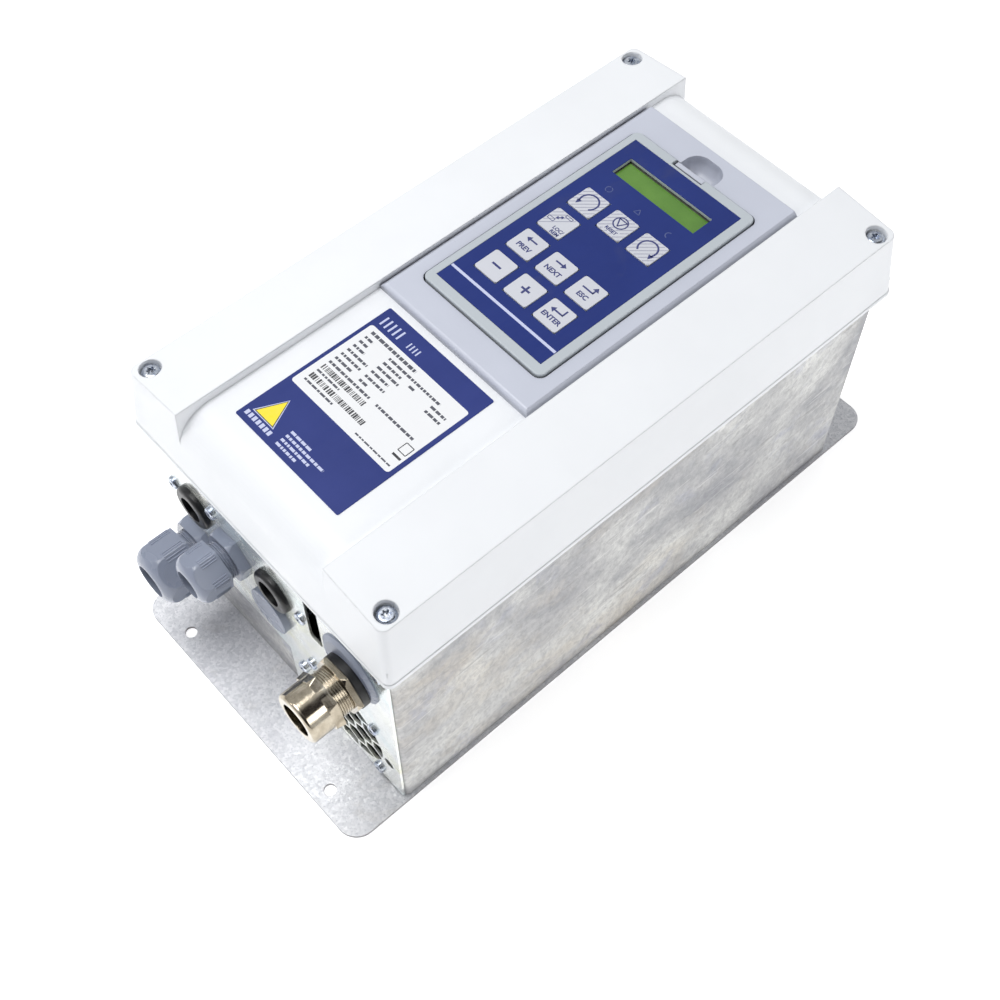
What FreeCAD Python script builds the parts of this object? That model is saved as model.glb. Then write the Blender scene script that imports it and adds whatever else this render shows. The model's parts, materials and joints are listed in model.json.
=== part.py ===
"""Variable frequency drive for a three-phase motor, as an assembly of its separate pieces.

The drive lies on its mounting plate. The origin is the centre of the plate's back face, +Z runs out
of the front cover, +Y runs towards the drive's top end and the cable glands point along -Y.
All sizes are millimetres.
"""
import FreeCAD, Part
import Sketcher
import math
import os
import re
from FreeCAD import Placement, Rotation, Vector

# ---------------------------------------------------------------- driving dimensions
DIMENSIONS = {
    # mounting plate
    "plate_width": 194, "plate_length": 416, "plate_thick": 2, "plate_corner": 12,
    "wall_hole_x": 128.5, "wall_hole_y": 396, "wall_hole_radius": 3.5,
    # sheet metal box, open at the front, and its zinc plated connection plate
    "box_width": 190, "box_end": 171, "box_top": 158.5, "sheet": 1.5, "box_bend": 3,
    "front_flange": 20, "end_return": 4.5, "blank_right": 3, "blank_top": 47,
    "panel_face": 171, "panel_half": 93.6, "panel_top": 156.5, "panel_foot": 3.2,
    # front cover
    "rim_height": 152.8, "cover_top": 200, "cover_half_width": 100.8, "cover_half_length": 175,
    "draft_across": 0.1238, "draft_along": 0.0935, "cover_wall": 3, "cover_corner": 4.5,
    "lip_height": 2.5, "lip_proud": 0.25, "rail_inner": 55, "rail_slope": 0.1086,
    "floor_height": 195, "nose_radius": 20, "ledge_bottom": 161.5, "ledge_thick": 2.5,
    "ledge_half_width": 76.5, "ledge_half_length": 152,
    "cover_screw_x": 88.4, "cover_screw_y": 162.4, "pocket_radius": 5.7, "pocket_floor": 191.4,
    "boss_radius": 8, "cover_screw_hole": 2.5, "screw_shank": 1.95, "screw_head": 5,
    "screw_head_height": 3.4, "post_radius": 4, "post_bore": 2.05, "post_bottom": 146,
    # bezel round the control panel
    "bezel_half_width": 54.6, "bezel_bottom": -48, "bezel_end": 140.4, "bezel_bevel": 3.2,
    "pocket_gap": 0.9, "tray_wall": 3, "tray_floor": 186, "scoop_half": 11.6, "scoop_end": 134.5,
    "scoop_floor": 189,
    # control panel, hinged at its lower edge
    "panel_half_width": 42.9, "panel_start": -30.4, "panel_length": 151.2, "panel_front": 201.5,
    "panel_back_face": 187, "panel_split": 190, "panel_skin": 2.2, "panel_corner": 4,
    "overlay_half_width": 38, "overlay_half_length": 69.85, "overlay_x": -0.5, "overlay_y": 45.25,
    "overlay_thick": 0.3, "window_x": -1.1, "window_y": 96.4, "window_half_width": 29.2,
    "window_half_length": 7.1, "key_pitch": 21.25, "key_column": -0.9, "key_row": 0.7,
    "key_width": 16, "key_length": 15.8, "key_gap": 0.3, "key_proud": 0.45, "key_corner": 1.5,
    "board_height": 193, "board_thick": 1.6, "glass_height": 198.9,
    "latch_width": 19.6, "latch_x": -2.6, "latch_depth": 3, "latch_gap": 0.35, "latch_travel": 0.9,
    "latch_notch": 1.3,
    # rating label
    "label_width": 76.8, "label_length": 94.8, "label_x": -2.8, "label_y": -99.8,
    "label_thick": 0.25,
    # cable entries, measured across and up the connection plate
    "large_x": -69.5, "large_z": 65.5, "small_x": -32.5, "small_z": 104, "metal_x": 65.5,
    "metal_z": 110, "left_ring_x": -64.8, "right_ring_x": 1.9, "ring_z": 109.5, "plug_x": -4.2,
    "plug_z": 82, "slot_left": 29.5, "slot_right": 40, "slot_low": 100, "slot_high": 138,
    "ring_radius": 13.3, "ring_bore": 7.8, "ring_neck": 10.6, "ring_proud": 3.8,
    "reducer_x": 64, "reducer_z": 115, "reducer_radius": 21, "reducer_thick": 2.4,
    "reducer_thread": 16, "washer_thick": 4.5, "plug_radius": 14.3, "plug_thread": 12,
    "plug_proud": 3.9,
    # fan
    "fan_x": 50, "fan_z": 36, "fan_size": 60, "fan_depth": 25, "fan_bore": 28.6, "fan_pitch": 50,
    "fan_hub": 13.5, "blade_tip": 27.6, "blade_thick": 1.4, "blade_count": 7, "fan_pin": 1.5,
    "cell_across": 12.5, "cell_pitch": 14.2, "grille_radius": 29.5,
    # heat sink and power electronics
    "sink_left": 6, "sink_width": 86, "sink_start": -135, "sink_length": 285, "sink_top": 66,
    "sink_base": 8, "fin_thick": 2, "fin_count": 11,
    "power_board_z": 88, "power_board_half": 88, "power_board_start": -132,
    "power_board_length": 274, "shield_z": 128, "control_board_z": 146,
    "control_board_half": 80, "control_board_start": -86, "control_board_length": 212,
}

doc = FreeCAD.newDocument("frequency_drive")
sheet = doc.addObject("Spreadsheet::Sheet", "Dims")
for row, (alias, value) in enumerate(DIMENSIONS.items(), start=1):
    sheet.set(f"A{row}", alias)
    sheet.set(f"B{row}", str(value))
    sheet.setAlias(f"B{row}", alias)
doc.recompute()

nodes = []

# placements used by everything on the connection plate: local Z points along -Y, local Y points up
OUTWARD = Rotation(Vector(1, 0, 0), 90)
UPRIGHT = Rotation()


# ---------------------------------------------------------------- helpers
def formula(text):
    """Turn the words of an expression into references to the sheet's cells."""
    return re.sub(r"\b[a-z]\w+\b", lambda word: "Dims." + word.group(0), str(text))


def dim(alias):
    return float(sheet.get(alias))


def bind(item, **expressions):
    for prop, text in expressions.items():
        item.setExpression(prop, formula(text))
    return item


def place(item, base, turn=UPRIGHT):
    item.Placement = Placement(Vector(0, 0, 0), turn)
    for axis, text in zip("xyz", base):
        item.setExpression(f"Placement.Base.{axis}", formula(text))
    return item


def block(name, size, base=(0, 0, 0), turn=UPRIGHT):
    """A box whose lowest corner is at base."""
    item = doc.addObject("Part::Box", name)
    bind(item, Length=size[0], Width=size[1], Height=size[2])
    return place(item, base, turn)


def span(name, left, right, near, far, low, high):
    """A box given by its six faces."""
    size = (f"({right})-({left})", f"({far})-({near})", f"({high})-({low})")
    return block(name, size, (left, near, low))


def rod(name, radius, length, base=(0, 0, 0), turn=UPRIGHT):
    item = doc.addObject("Part::Cylinder", name)
    bind(item, Radius=radius, Height=length)
    return place(item, base, turn)


def cone(name, start_radius, end_radius, length, base=(0, 0, 0), turn=UPRIGHT):
    item = doc.addObject("Part::Cone", name)
    bind(item, Radius1=start_radius, Radius2=end_radius, Height=length)
    return place(item, base, turn)


def hexagon(name, across_flats, length, base=(0, 0, 0), spin=0):
    """A six-sided prism; spin turns it about its own axis, in degrees."""
    item = doc.addObject("Part::Prism", name)
    item.Polygon = 6
    bind(item, Circumradius=f"({across_flats})/{math.sqrt(3):.6f}", Height=length)
    return place(item, base, Rotation(Vector(0, 0, 1), spin))


def wedge(name, low, high, half_width, half_length):
    """A block tapered towards +Z; the half sizes are functions of the height's expression."""
    item = doc.addObject("Part::Wedge", name)
    bind(item, Ymin=low, Ymax=high,
         Xmin=f"-({half_width(low)})", Xmax=half_width(low),
         X2min=f"-({half_width(high)})", X2max=half_width(high),
         Zmin=f"-({half_length(low)})", Zmax=half_length(low),
         Z2min=f"-({half_length(high)})", Z2max=half_length(high))
    item.Placement = Placement(Vector(0, 0, 0), OUTWARD)
    return item


def fuse(name, *pieces):
    item = doc.addObject("Part::MultiFuse", name)
    item.Shapes = list(pieces)
    item.Refine = True
    return item


def group(name, *pieces):
    """Separate solids kept as one sub-part."""
    item = doc.addObject("Part::Compound", name)
    item.Links = list(pieces)
    return item


def cut(name, base, *tools):
    item = doc.addObject("Part::Cut", name)
    item.Base = base
    item.Tool = tools[0] if len(tools) == 1 else group(name + "_tools", *tools)
    item.Refine = True
    return item


def common(name, first, second):
    item = doc.addObject("Part::Common", name)
    item.Base = first
    item.Tool = second
    item.Refine = True
    return item


def round_edges(name, base, radius, choose, chamfer=False):
    """Fillet or chamfer the edges of base that choose(edge) accepts."""
    doc.recompute()
    item = doc.addObject("Part::Chamfer" if chamfer else "Part::Fillet", name)
    item.Base = base
    size = dim(radius) if isinstance(radius, str) else radius
    item.Edges = [(number, size, size) for number, edge in enumerate(base.Shape.Edges, start=1)
                  if choose(edge)]
    return item


def rises(edge):
    """True for a straight edge that climbs rather than lies flat."""
    ends = edge.Vertexes
    return len(ends) == 2 and abs(ends[0].Z - ends[1].Z) > 0.4 * edge.Length


def at_height(height):
    def choose(edge):
        box = edge.BoundBox
        return abs(box.ZMin - height) < 1e-3 and abs(box.ZMax - height) < 1e-3
    return choose


def body(name):
    return doc.addObject("PartDesign::Body", name)


def sketch(owner, name, role="XY_Plane", offset=0):
    item = owner.newObject("Sketcher::SketchObject", name)
    plane = next(feature for feature in owner.Origin.OriginFeatures if feature.Role == role)
    item.AttachmentSupport = [(plane, "")]
    item.MapMode = "FlatFace"
    item.setExpression("AttachmentOffset.Base.z", formula(offset))
    return item


def hold(item, constraint, text):
    """Add a dimension to a sketch and drive it from the sheet."""
    number = item.addConstraint(constraint)
    item.setExpression(f"Constraints[{number}]", formula(text))


def outline(item, points):
    """A closed polygon with every corner driven from the sheet."""
    first = item.GeometryCount
    count = len(points)
    rough = [Vector(10 * math.cos(2 * math.pi * i / count), 10 * math.sin(2 * math.pi * i / count), 0)
             for i in range(count)]
    for i in range(count):
        item.addGeometry(Part.LineSegment(rough[i], rough[(i + 1) % count]), False)
    for i, (across, up) in enumerate(points):
        item.addConstraint(Sketcher.Constraint("Coincident", first + i - 1 if i else first + count - 1,
                                               2, first + i, 1))
        hold(item, Sketcher.Constraint("DistanceX", first + i, 1, rough[i].x), across)
        hold(item, Sketcher.Constraint("DistanceY", first + i, 1, rough[i].y), up)


def rectangle(item, left, right, low, high):
    outline(item, [(left, low), (right, low), (right, high), (left, high)])


def circle(item, across, up, radius):
    number = item.addGeometry(Part.Circle(Vector(1, 1, 0), Vector(0, 0, 1), 1), False)
    hold(item, Sketcher.Constraint("DistanceX", number, 3, 1), across)
    hold(item, Sketcher.Constraint("DistanceY", number, 3, 1), up)
    hold(item, Sketcher.Constraint("Radius", number, 1), radius)


def pad(owner, name, profile, length):
    item = owner.newObject("PartDesign::Pad", name)
    item.Profile = profile
    return bind(item, Length=length)


def pocket(owner, name, profile, length):
    """A pocket that cuts upwards, along the sketch's own normal."""
    item = owner.newObject("PartDesign::Pocket", name)
    item.Profile = profile
    item.Reversed = True
    return bind(item, Length=length)


def revolve(name, points):
    """A solid of revolution about local Z, from (radius, height) corners."""
    owner = body(name)
    profile = sketch(owner, name + "_profile", "XZ_Plane")
    outline(profile, points)
    turned = owner.newObject("PartDesign::Revolution", name + "_turn")
    turned.Profile = profile
    turned.ReferenceAxis = (profile, ["V_Axis"])
    turned.Angle = 360
    return owner


def slab(name, left, right, near, far, low, thick, holes=(), corner=None):
    """A flat board or plate: a padded outline with round holes through it."""
    owner = body(name)
    profile = sketch(owner, name + "_outline", offset=low)
    rectangle(profile, left, right, near, far)
    for across, along, radius in holes:
        circle(profile, across, along, radius)
    pad(owner, name + "_pad", profile, thick)
    if corner:
        doc.recompute()
        soften(owner, name + "_corners", corner)
    return owner


def soften(owner, name, radius):
    """Round the upright outer corners of a body's present shape."""
    tip = owner.Tip
    wanted = [f"Edge{number}" for number, edge in enumerate(tip.Shape.Edges, start=1)
              if rises(edge) and edge.Curve.TypeId == "Part::GeomLine"
              and len(edge.Vertexes) == 2]
    item = owner.newObject("PartDesign::Fillet", name)
    item.Base = (tip, wanted)
    return bind(item, Radius=radius)


def keep(item, node, base=None, turn=UPRIGHT):
    """Label a finished sub-part with its node's name."""
    if base is not None:
        place(item, base, turn)
    item.Label = node
    nodes.append(item)
    return item


def on_panel(across, up, out=0):
    """Where a piece on the connection plate stands, out millimetres proud of the plate."""
    return (across, f"-panel_face-({out})", up)


# ---------------------------------------------------------------- chassis
def mounting_plate():
    holes = [(f"{side}*wall_hole_x/2", f"{end}*wall_hole_y/2", "wall_hole_radius")
             for side in (-1, 1) for end in (-1, 1)]
    plate = slab("plate", "-plate_width/2", "plate_width/2", "-plate_length/2", "plate_length/2",
                 0, "plate_thick", holes, "plate_corner")
    keep(plate, "mounting_plate")


def chassis_box():
    """Folded box: side walls, vented top end, and a flange round the open front."""
    start = "sheet-panel_face"
    outer = span("box_outer", "-box_width/2", "box_width/2", start, "box_end", "plate_thick", "box_top")
    outer = round_edges("box_bends", outer, "box_bend", rises)
    inner = span("box_inner", "sheet-box_width/2", "box_width/2-sheet", f"{start}+sheet",
                 "box_end-sheet", "plate_thick-1", "box_top-sheet")
    inner = round_edges("box_inner_bends", inner, dim("box_bend") - dim("sheet"), rises)
    front = span("box_front_opening", "front_flange-box_width/2", "box_width/2-front_flange",
                 f"{start}+front_flange", "box_end-front_flange", "box_top-5", "box_top+5")
    upper = span("box_end_upper", "end_return-box_width/2", "box_width/2-end_return",
                 f"{start}-5", f"{start}+5", "blank_top", "box_top-sheet-8")
    lower = span("box_end_lower", "blank_right", "box_width/2-end_return",
                 f"{start}-5", f"{start}+5", "plate_thick+3", "blank_top+5")
    posts = [rod(f"box_post_hole_{number}", "post_radius+0.05", 20, (x, y, "box_top-10"))
             for number, (x, y) in enumerate(corner_points())]
    box = cut("box_folded", outer, inner, front, upper, lower, *posts, *outlet_slots())
    keep(box, "chassis_box")


def outlet_slots():
    """Air outlet slots in the top end, behind the heat sink's fins."""
    return [span(f"outlet_slot_{number}", f"sink_left+4+{number}*7.5", f"sink_left+8+{number}*7.5",
                 "box_end-5", "box_end+5", 10, 56) for number in range(11)]


def corner_points():
    return [(f"{side}*cover_screw_x", f"{end}*cover_screw_y") for side in (-1, 1) for end in (-1, 1)]


def cover_screw_posts():
    posts = []
    for number, (x, y) in enumerate(corner_points()):
        shell = rod(f"post_{number}", "post_radius", "ledge_bottom-0.1-post_bottom", (x, y, "post_bottom"))
        bore = rod(f"post_bore_{number}", "post_bore", 40, (x, y, "post_bottom-5"))
        posts.append(cut(f"post_cut_{number}", shell, bore))
    keep(group("posts", *posts), "cover_screw_posts")


def cover_gasket():
    outer = span("gasket_outer", "-82", "82", "-157", "158.5", "box_top", "ledge_bottom-0.05")
    inner = span("gasket_inner", "-77", "77", "-152", "153.5", "box_top-1", "ledge_bottom+1")
    outer = round_edges("gasket_outer_round", outer, 8, rises)
    inner = round_edges("gasket_inner_round", inner, 4, rises)
    keep(cut("gasket_ring", outer, inner), "cover_gasket")


# ---------------------------------------------------------------- connection plate
SCREW_PLACES = [("-84", "110.5"), ("-47.5", "123.5"), ("24", "110.5"), ("14.5", "41"), ("87", "142")]
SPARE_HOLE = ("84.5", "32")


def gland_plate():
    """Zinc plated sheet with the cable entries and the fan's honeycomb guard."""
    low = span("panel_upper", "-panel_half", "panel_half", "-panel_face", "sheet-panel_face",
               "blank_top", "panel_top")
    right = span("panel_lower", "blank_right", "panel_half", "-panel_face", "sheet-panel_face",
                 "panel_foot", "blank_top+1")
    sheet_metal = fuse("panel_blank", low, right)
    entries = [("large_x", "large_z", "12.7"), ("small_x", "small_z", "10.2"),
               ("metal_x", "metal_z", "reducer_thread+0.2"), ("left_ring_x", "ring_z", "ring_neck+0.05"),
               ("right_ring_x", "ring_z", "ring_neck+0.05"), ("plug_x", "plug_z", "plug_thread+0.2"),
               (*SPARE_HOLE, "3.6")]
    entries += [(x, z, "2.05") for x, z in SCREW_PLACES]
    entries += [(x, z, "2.1") for x, z in fan_corners()]
    drills = [rod(f"panel_hole_{number}", radius, 10, on_panel(x, z, 5), Rotation(Vector(1, 0, 0), -90))
              for number, (x, z, radius) in enumerate(entries)]
    slot = span("panel_slot", "slot_left", "slot_right", "-panel_face-5", "5-panel_face",
                "slot_low", "slot_high")
    slot = round_edges("panel_slot_ends", slot, 3, lambda edge: edge.BoundBox.YLength > 1)
    cut_plate = cut("panel_sheet", sheet_metal, *drills, slot, honeycomb())
    keep(cut_plate, "gland_plate")


def honeycomb():
    """The fan guard's openings: hexagons clipped to the fan's round bore."""
    cells = []
    reach = range(-2, 3)
    pitch = dim("cell_pitch")
    limit = dim("grille_radius") + dim("cell_across") / 2 - 2.5
    for column in reach:
        for line in reach:
            across = f"cell_pitch*({column}+{line}/2)"
            up = f"cell_pitch*{line}*{math.sqrt(3) / 2:.6f}"
            if math.hypot(pitch * (column + line / 2), pitch * line * math.sqrt(3) / 2) < limit:
                cells.append(hexagon(f"cell_{column + 2}_{line + 2}", "cell_across", 10,
                                     (across, up, 0), 30))
    cells = group("cells", *cells)
    disc = rod("cell_limit", "grille_radius", 10)
    pattern = common("cell_pattern", cells, disc)
    return place(pattern, on_panel("fan_x", "fan_z", -5), OUTWARD)


def fan_corners():
    return [(f"fan_x+{side}*fan_pitch/2", f"fan_z+{end}*fan_pitch/2")
            for side in (-1, 1) for end in (-1, 1)]


def pan_screw(name, shank, length, head, head_height):
    """Pan head screw with a six-lobed recess; local Z points out of its head."""
    stem = rod(name + "_stem", shank, f"{length}+0.1", (0, 0, f"-({length})"))
    top = rod(name + "_head", head, head_height)
    doc.recompute()
    top = round_edges(name + "_dome", top, 0.6 * top.Height.Value,
                      at_height(top.Height.Value))
    low = f"({head_height})*0.4"
    core = rod(name + "_recess_core", f"({head})*0.33", head_height, (0, 0, low))
    lobes = []
    for lobe in range(6):
        angle = math.radians(60 * lobe)
        across, up = f"({head})*{0.36 * math.cos(angle):.4f}", f"({head})*{0.36 * math.sin(angle):.4f}"
        lobes.append(rod(f"{name}_lobe_{lobe}", f"({head})*0.11", head_height, (across, up, low)))
    recess = fuse(name + "_recess", core, *lobes)
    return cut(name + "_cut", fuse(name + "_solid", stem, top), recess)


def panel_screws():
    screws = []
    for number, (x, z) in enumerate(SCREW_PLACES):
        screw = pan_screw(f"panel_screw_{number}", 2, 8, 3.8, 2.1)
        screws.append(place(screw, on_panel(x, z), OUTWARD))
    keep(group("panel_screw_group", *screws), "gland_plate_screws")


def fan_screws():
    screws = []
    for number, (x, z) in enumerate(fan_corners()):
        screw = pan_screw(f"fan_screw_{number}", 2, 14, 3.6, 2)
        screws.append(place(screw, on_panel(x, z), OUTWARD))
    keep(group("fan_screw_group", *screws), "fan_screws")


def rubber_ring(node, across):
    """Cable grommet: a rounded outer lip, a neck in the sheet and a flat inner lip."""
    lip = rod(node + "_lip", "ring_radius", "ring_proud")
    lip = round_edges(node + "_lip_round", lip, 2.4, at_height(dim("ring_proud")))
    neck = rod(node + "_neck", "ring_neck", "sheet+0.2", (0, 0, "-sheet-0.1"))
    flange = rod(node + "_flange", "ring_radius-1.5", 3.2, (0, 0, "-sheet-3.2"))
    bore = rod(node + "_bore", "ring_bore", 40, (0, 0, -20))
    ring = cut(node + "_solid", fuse(node + "_blank", lip, neck, flange), bore)
    keep(ring, node, on_panel(across, "ring_z"), OUTWARD)


def blanking_plug():
    """Screwed plug in a spare entry: a flat disc with a coin slot and a hollow thread."""
    disc = rod("plug_disc", "plug_radius", "plug_proud")
    disc = round_edges("plug_edge", disc, 0.4, at_height(dim("plug_proud")))
    thread = rod("plug_stem", "plug_thread", 11, (0, 0, -11))
    hollow = rod("plug_hollow", "plug_thread-2.5", 10.5, (0, 0, -12))
    slot = span("plug_slot", -9, 9, -0.6, 0.6, "plug_proud-1.6", "plug_proud+1")
    turned = place(slot, (-2, -6, 0), Rotation(Vector(0, 0, 1), -18))
    plug = cut("plug_solid", fuse("plug_blank", disc, thread), hollow, turned)
    keep(plug, "blanking_plug", on_panel("plug_x", "plug_z"), OUTWARD)


# ---------------------------------------------------------------- cable glands
# flats: flange across flats; bore, mouth, thread and neck: radii; flange, exposed and nut: lengths;
# foot: how far the flange stands off the connection plate
LARGE_GLAND = {"node": "gland_large", "flats": 33, "nut_flats": 32, "thread": 12.5, "bore": 9.2,
               "neck": 12.87, "flange": 6.5, "exposed": 4.5, "ribs": 3, "nut": 25, "mouth": 10.2,
               "foot": 0, "spin": 12, "nut_spin": 20, "place": ("large_x", "large_z")}
SMALL_GLAND = {"node": "gland_small", "flats": 27, "nut_flats": 25.6, "thread": 10, "bore": 7.2,
               "neck": 10.2, "flange": 6.2, "exposed": 4.5, "ribs": 3, "nut": 19, "mouth": 8.3,
               "foot": 0, "spin": 12, "nut_spin": 20, "place": ("small_x", "small_z")}
METAL_GLAND = {"node": "gland_metal", "flats": 30, "nut_flats": 28.5, "thread": 12.5, "bore": 8.6,
               "neck": 12.3, "flange": 3.2, "exposed": 7.5, "ribs": 5, "nut": 17.8, "mouth": 9.4,
               "foot": 7, "spin": 8, "nut_spin": 46, "place": ("metal_x", "metal_z")}
NUT_CLEARANCE = 0.35


def gland_body(gland):
    """Hexagon flange with the entry thread behind it and the nut's thread in front."""
    node, flats = gland["node"], gland["flats"]
    front = gland["flange"] + gland["exposed"] + gland["nut"] * 0.55
    flange = hexagon(node + "_flange", flats, gland["flange"], spin=gland["spin"])
    bevel = cone(node + "_flange_bevel", flats * 0.6, flats * 0.54, gland["flange"])
    flange = common(node + "_flange_form", flange, bevel)
    entry = rod(node + "_entry", gland["thread"], 12 + gland["foot"], (0, 0, -12 - gland["foot"]))
    neck = rod(node + "_neck", gland["neck"], front - 0.1, (0, 0, 0.1))
    ribs = [rod(f"{node}_thread_{turn}", gland["neck"] + 0.7, 0.7,
                (0, 0, gland["flange"] + 0.5 + turn * 1.3)) for turn in range(gland["ribs"])]
    bore = rod(node + "_bore", gland["bore"], 80, (0, 0, -40))
    seat = rod(node + "_seat", gland["bore"] + 1.5, 80, (0, 0, gland["flange"]))
    solid = cut(node + "_solid", fuse(node + "_blank", flange, entry, neck, *ribs), bore, seat)
    keep(solid, node + "_body", on_panel(*gland["place"], gland["foot"]), OUTWARD)


def gland_seal(gland):
    """Rubber insert that the nut squeezes round the cable."""
    low = gland["flange"] + 0.1
    length = gland["nut"] * 0.72 + gland["exposed"] - 1
    outer = rod(gland["node"] + "_seal_outer", gland["bore"] + 1.35, length - 3, (0, 0, low))
    tip = cone(gland["node"] + "_seal_tip", gland["bore"] + 1.35, gland["bore"] - 0.6, 3,
               (0, 0, low + length - 3))
    hole = rod(gland["node"] + "_seal_hole", gland["bore"] - 1.6, 80, (0, 0, -10))
    seal = cut(gland["node"] + "_seal_solid", fuse(gland["node"] + "_seal_blank", outer, tip), hole)
    keep(seal, gland["node"] + "_seal", on_panel(*gland["place"], gland["foot"]), OUTWARD)


def metal_nut_blank(node, flats, length, spin):
    """A short hexagon with a long plain nose."""
    hexed = hexagon(node + "_hex", flats, length * 0.29, spin=spin)
    bevel = cone(node + "_hex_bevel", flats * 0.58, flats * 0.55, length * 0.29)
    nose = rod(node + "_nose", flats * 0.505, length)
    nose = round_edges(node + "_nose_round", nose, 1.9, at_height(length))
    return fuse(node + "_blank", common(node + "_hex_form", hexed, bevel), nose)


def plastic_nut_blank(node, flats, length, spin):
    """A long hexagon turned down to a rounded dome."""
    hexed = hexagon(node + "_hex", flats, length, spin=spin)
    envelope = rod(node + "_envelope", flats * 0.565, length)
    envelope = round_edges(node + "_envelope_round", envelope, flats * 0.26, at_height(length))
    return common(node + "_form", hexed, envelope)


def gland_nut(gland):
    """Dome nut, turning on the body's neck."""
    node, flats, length = gland["node"] + "_nut", gland["nut_flats"], gland["nut"]
    blank_form = metal_nut_blank if gland["node"] == "gland_metal" else plastic_nut_blank
    blank = blank_form(node, flats, length, gland["nut_spin"])
    inner = gland["neck"] + NUT_CLEARANCE
    bore = rod(node + "_bore", inner, length * 0.72, (0, 0, -1))
    mouth = rod(node + "_mouth", gland["mouth"], length * 2)
    throat = cone(node + "_throat", inner, gland["mouth"], length * 0.12, (0, 0, length * 0.72 - 1))
    nut = cut(node + "_solid", blank, bore, mouth, throat)
    out = gland["foot"] + gland["flange"] + gland["exposed"]
    keep(nut, node, on_panel(*gland["place"], out), OUTWARD)


def gland_reducer():
    """Grey cover disc with a tapered rim, and off its centre the entry for the metal gland."""
    centre = ("reducer_x-metal_x", "reducer_z-metal_z")
    rim = rod("reducer_rim", "reducer_radius", "reducer_thick/3", (*centre, 0))
    disc = cone("reducer_disc", "reducer_radius", "reducer_radius-3", "reducer_thick*2/3",
                (*centre, "reducer_thick/3"))
    thread = rod("reducer_thread_rod", "reducer_thread", 10, (0, 0, -10))
    bore = rod("reducer_bore", 12.6, 40, (0, 0, -20))
    reducer = cut("reducer_solid", fuse("reducer_blank", rim, disc, thread), bore)
    keep(reducer, "gland_reducer", on_panel("metal_x", "metal_z"), OUTWARD)


def gland_washer():
    """Black sealing washer under the metal gland."""
    ring = rod("washer_outer", 15.6, "washer_thick")
    ring = round_edges("washer_round", ring, 0.8, at_height(dim("washer_thick")))
    ring = cut("washer_ring", ring, rod("washer_inner", 12.6, 14, (0, 0, -1)))
    keep(ring, "gland_washer", on_panel("metal_x", "metal_z", "reducer_thick+0.05"), OUTWARD)


def gland_locknuts():
    """Locknuts inside the box, one for each threaded entry."""
    sizes = [("large_x", "large_z", 12.6, 36), ("small_x", "small_z", 10.1, 30),
             ("metal_x", "metal_z", 16.1, 42), ("plug_x", "plug_z", 12.1, 30)]
    nuts = []
    for number, (x, z, radius, flats) in enumerate(sizes):
        ring = cut(f"locknut_{number}", hexagon(f"locknut_hex_{number}", flats, 4.5),
                   rod(f"locknut_hole_{number}", radius, 10, (0, 0, -2)))
        nuts.append(place(ring, on_panel(x, z, "-sheet-4.6"), OUTWARD))
    keep(group("locknut_group", *nuts), "gland_locknuts")


# ---------------------------------------------------------------- cooling
def fan_housing():
    half = "fan_size/2"
    frame = span("fan_frame", f"-({half})", half, f"-({half})", half, "-fan_depth", 0)
    frame = round_edges("fan_frame_round", frame, 5, rises)
    bore = rod("fan_bore_rod", "fan_bore", 80, (0, 0, -40))
    holes = [rod(f"fan_hole_{number}", 2.15, 80, (f"{x}*fan_pitch/2", f"{z}*fan_pitch/2", -40))
             for number, (x, z) in enumerate(((-1, -1), (-1, 1), (1, -1), (1, 1)))]
    shell = cut("fan_shell", frame, bore, *holes)
    motor = rod("fan_motor", "fan_hub", 3, (0, 0, "-fan_depth"))
    arms = []
    for number in range(3):
        arm = block(f"fan_arm_{number}", ("fan_bore+0.5", 3, 2.4), (0, 0, 0))
        arm.Placement = Placement(Vector(0, 0, 0), Rotation(Vector(0, 0, 1), 90 + 120 * number))
        arm.setExpression("Placement.Base.z", formula("-fan_depth"))
        arms.append(arm)
    pin = rod("fan_axle", "fan_pin", 17, (0, 0, "-fan_depth+2"))
    housing = fuse("fan_body", shell, motor, *arms, pin)
    keep(housing, "fan_housing", on_panel("fan_x", "fan_z", "-sheet"), OUTWARD)


def fan_rotor():
    """Hub and pitched blades, turning on the housing's axle."""
    owner = body("rotor")
    hub = sketch(owner, "rotor_hub")
    circle(hub, 0, 0, "fan_hub")
    circle(hub, 0, 0, "fan_pin+0.06")
    pad(owner, "rotor_hub_pad", hub, 15)
    blade = sketch(owner, "rotor_blade", "YZ_Plane", "fan_hub-1")
    outline(blade, [("-6", "1.5"), ("-6+blade_thick", "1.5"), ("6", "13"), ("6-blade_thick", "13")])
    pad(owner, "rotor_blade_pad", blade, "blade_tip-fan_hub-0.5")
    pattern = owner.newObject("PartDesign::PolarPattern", "rotor_blades")
    pattern.Originals = [doc.getObject("rotor_blade_pad")]
    pattern.Axis = (hub, ["N_Axis"])
    bind(pattern, Occurrences="blade_count")
    owner.Tip = pattern
    keep(owner, "fan_rotor", on_panel("fan_x", "fan_z", "4-fan_depth-sheet"), OUTWARD)


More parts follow.
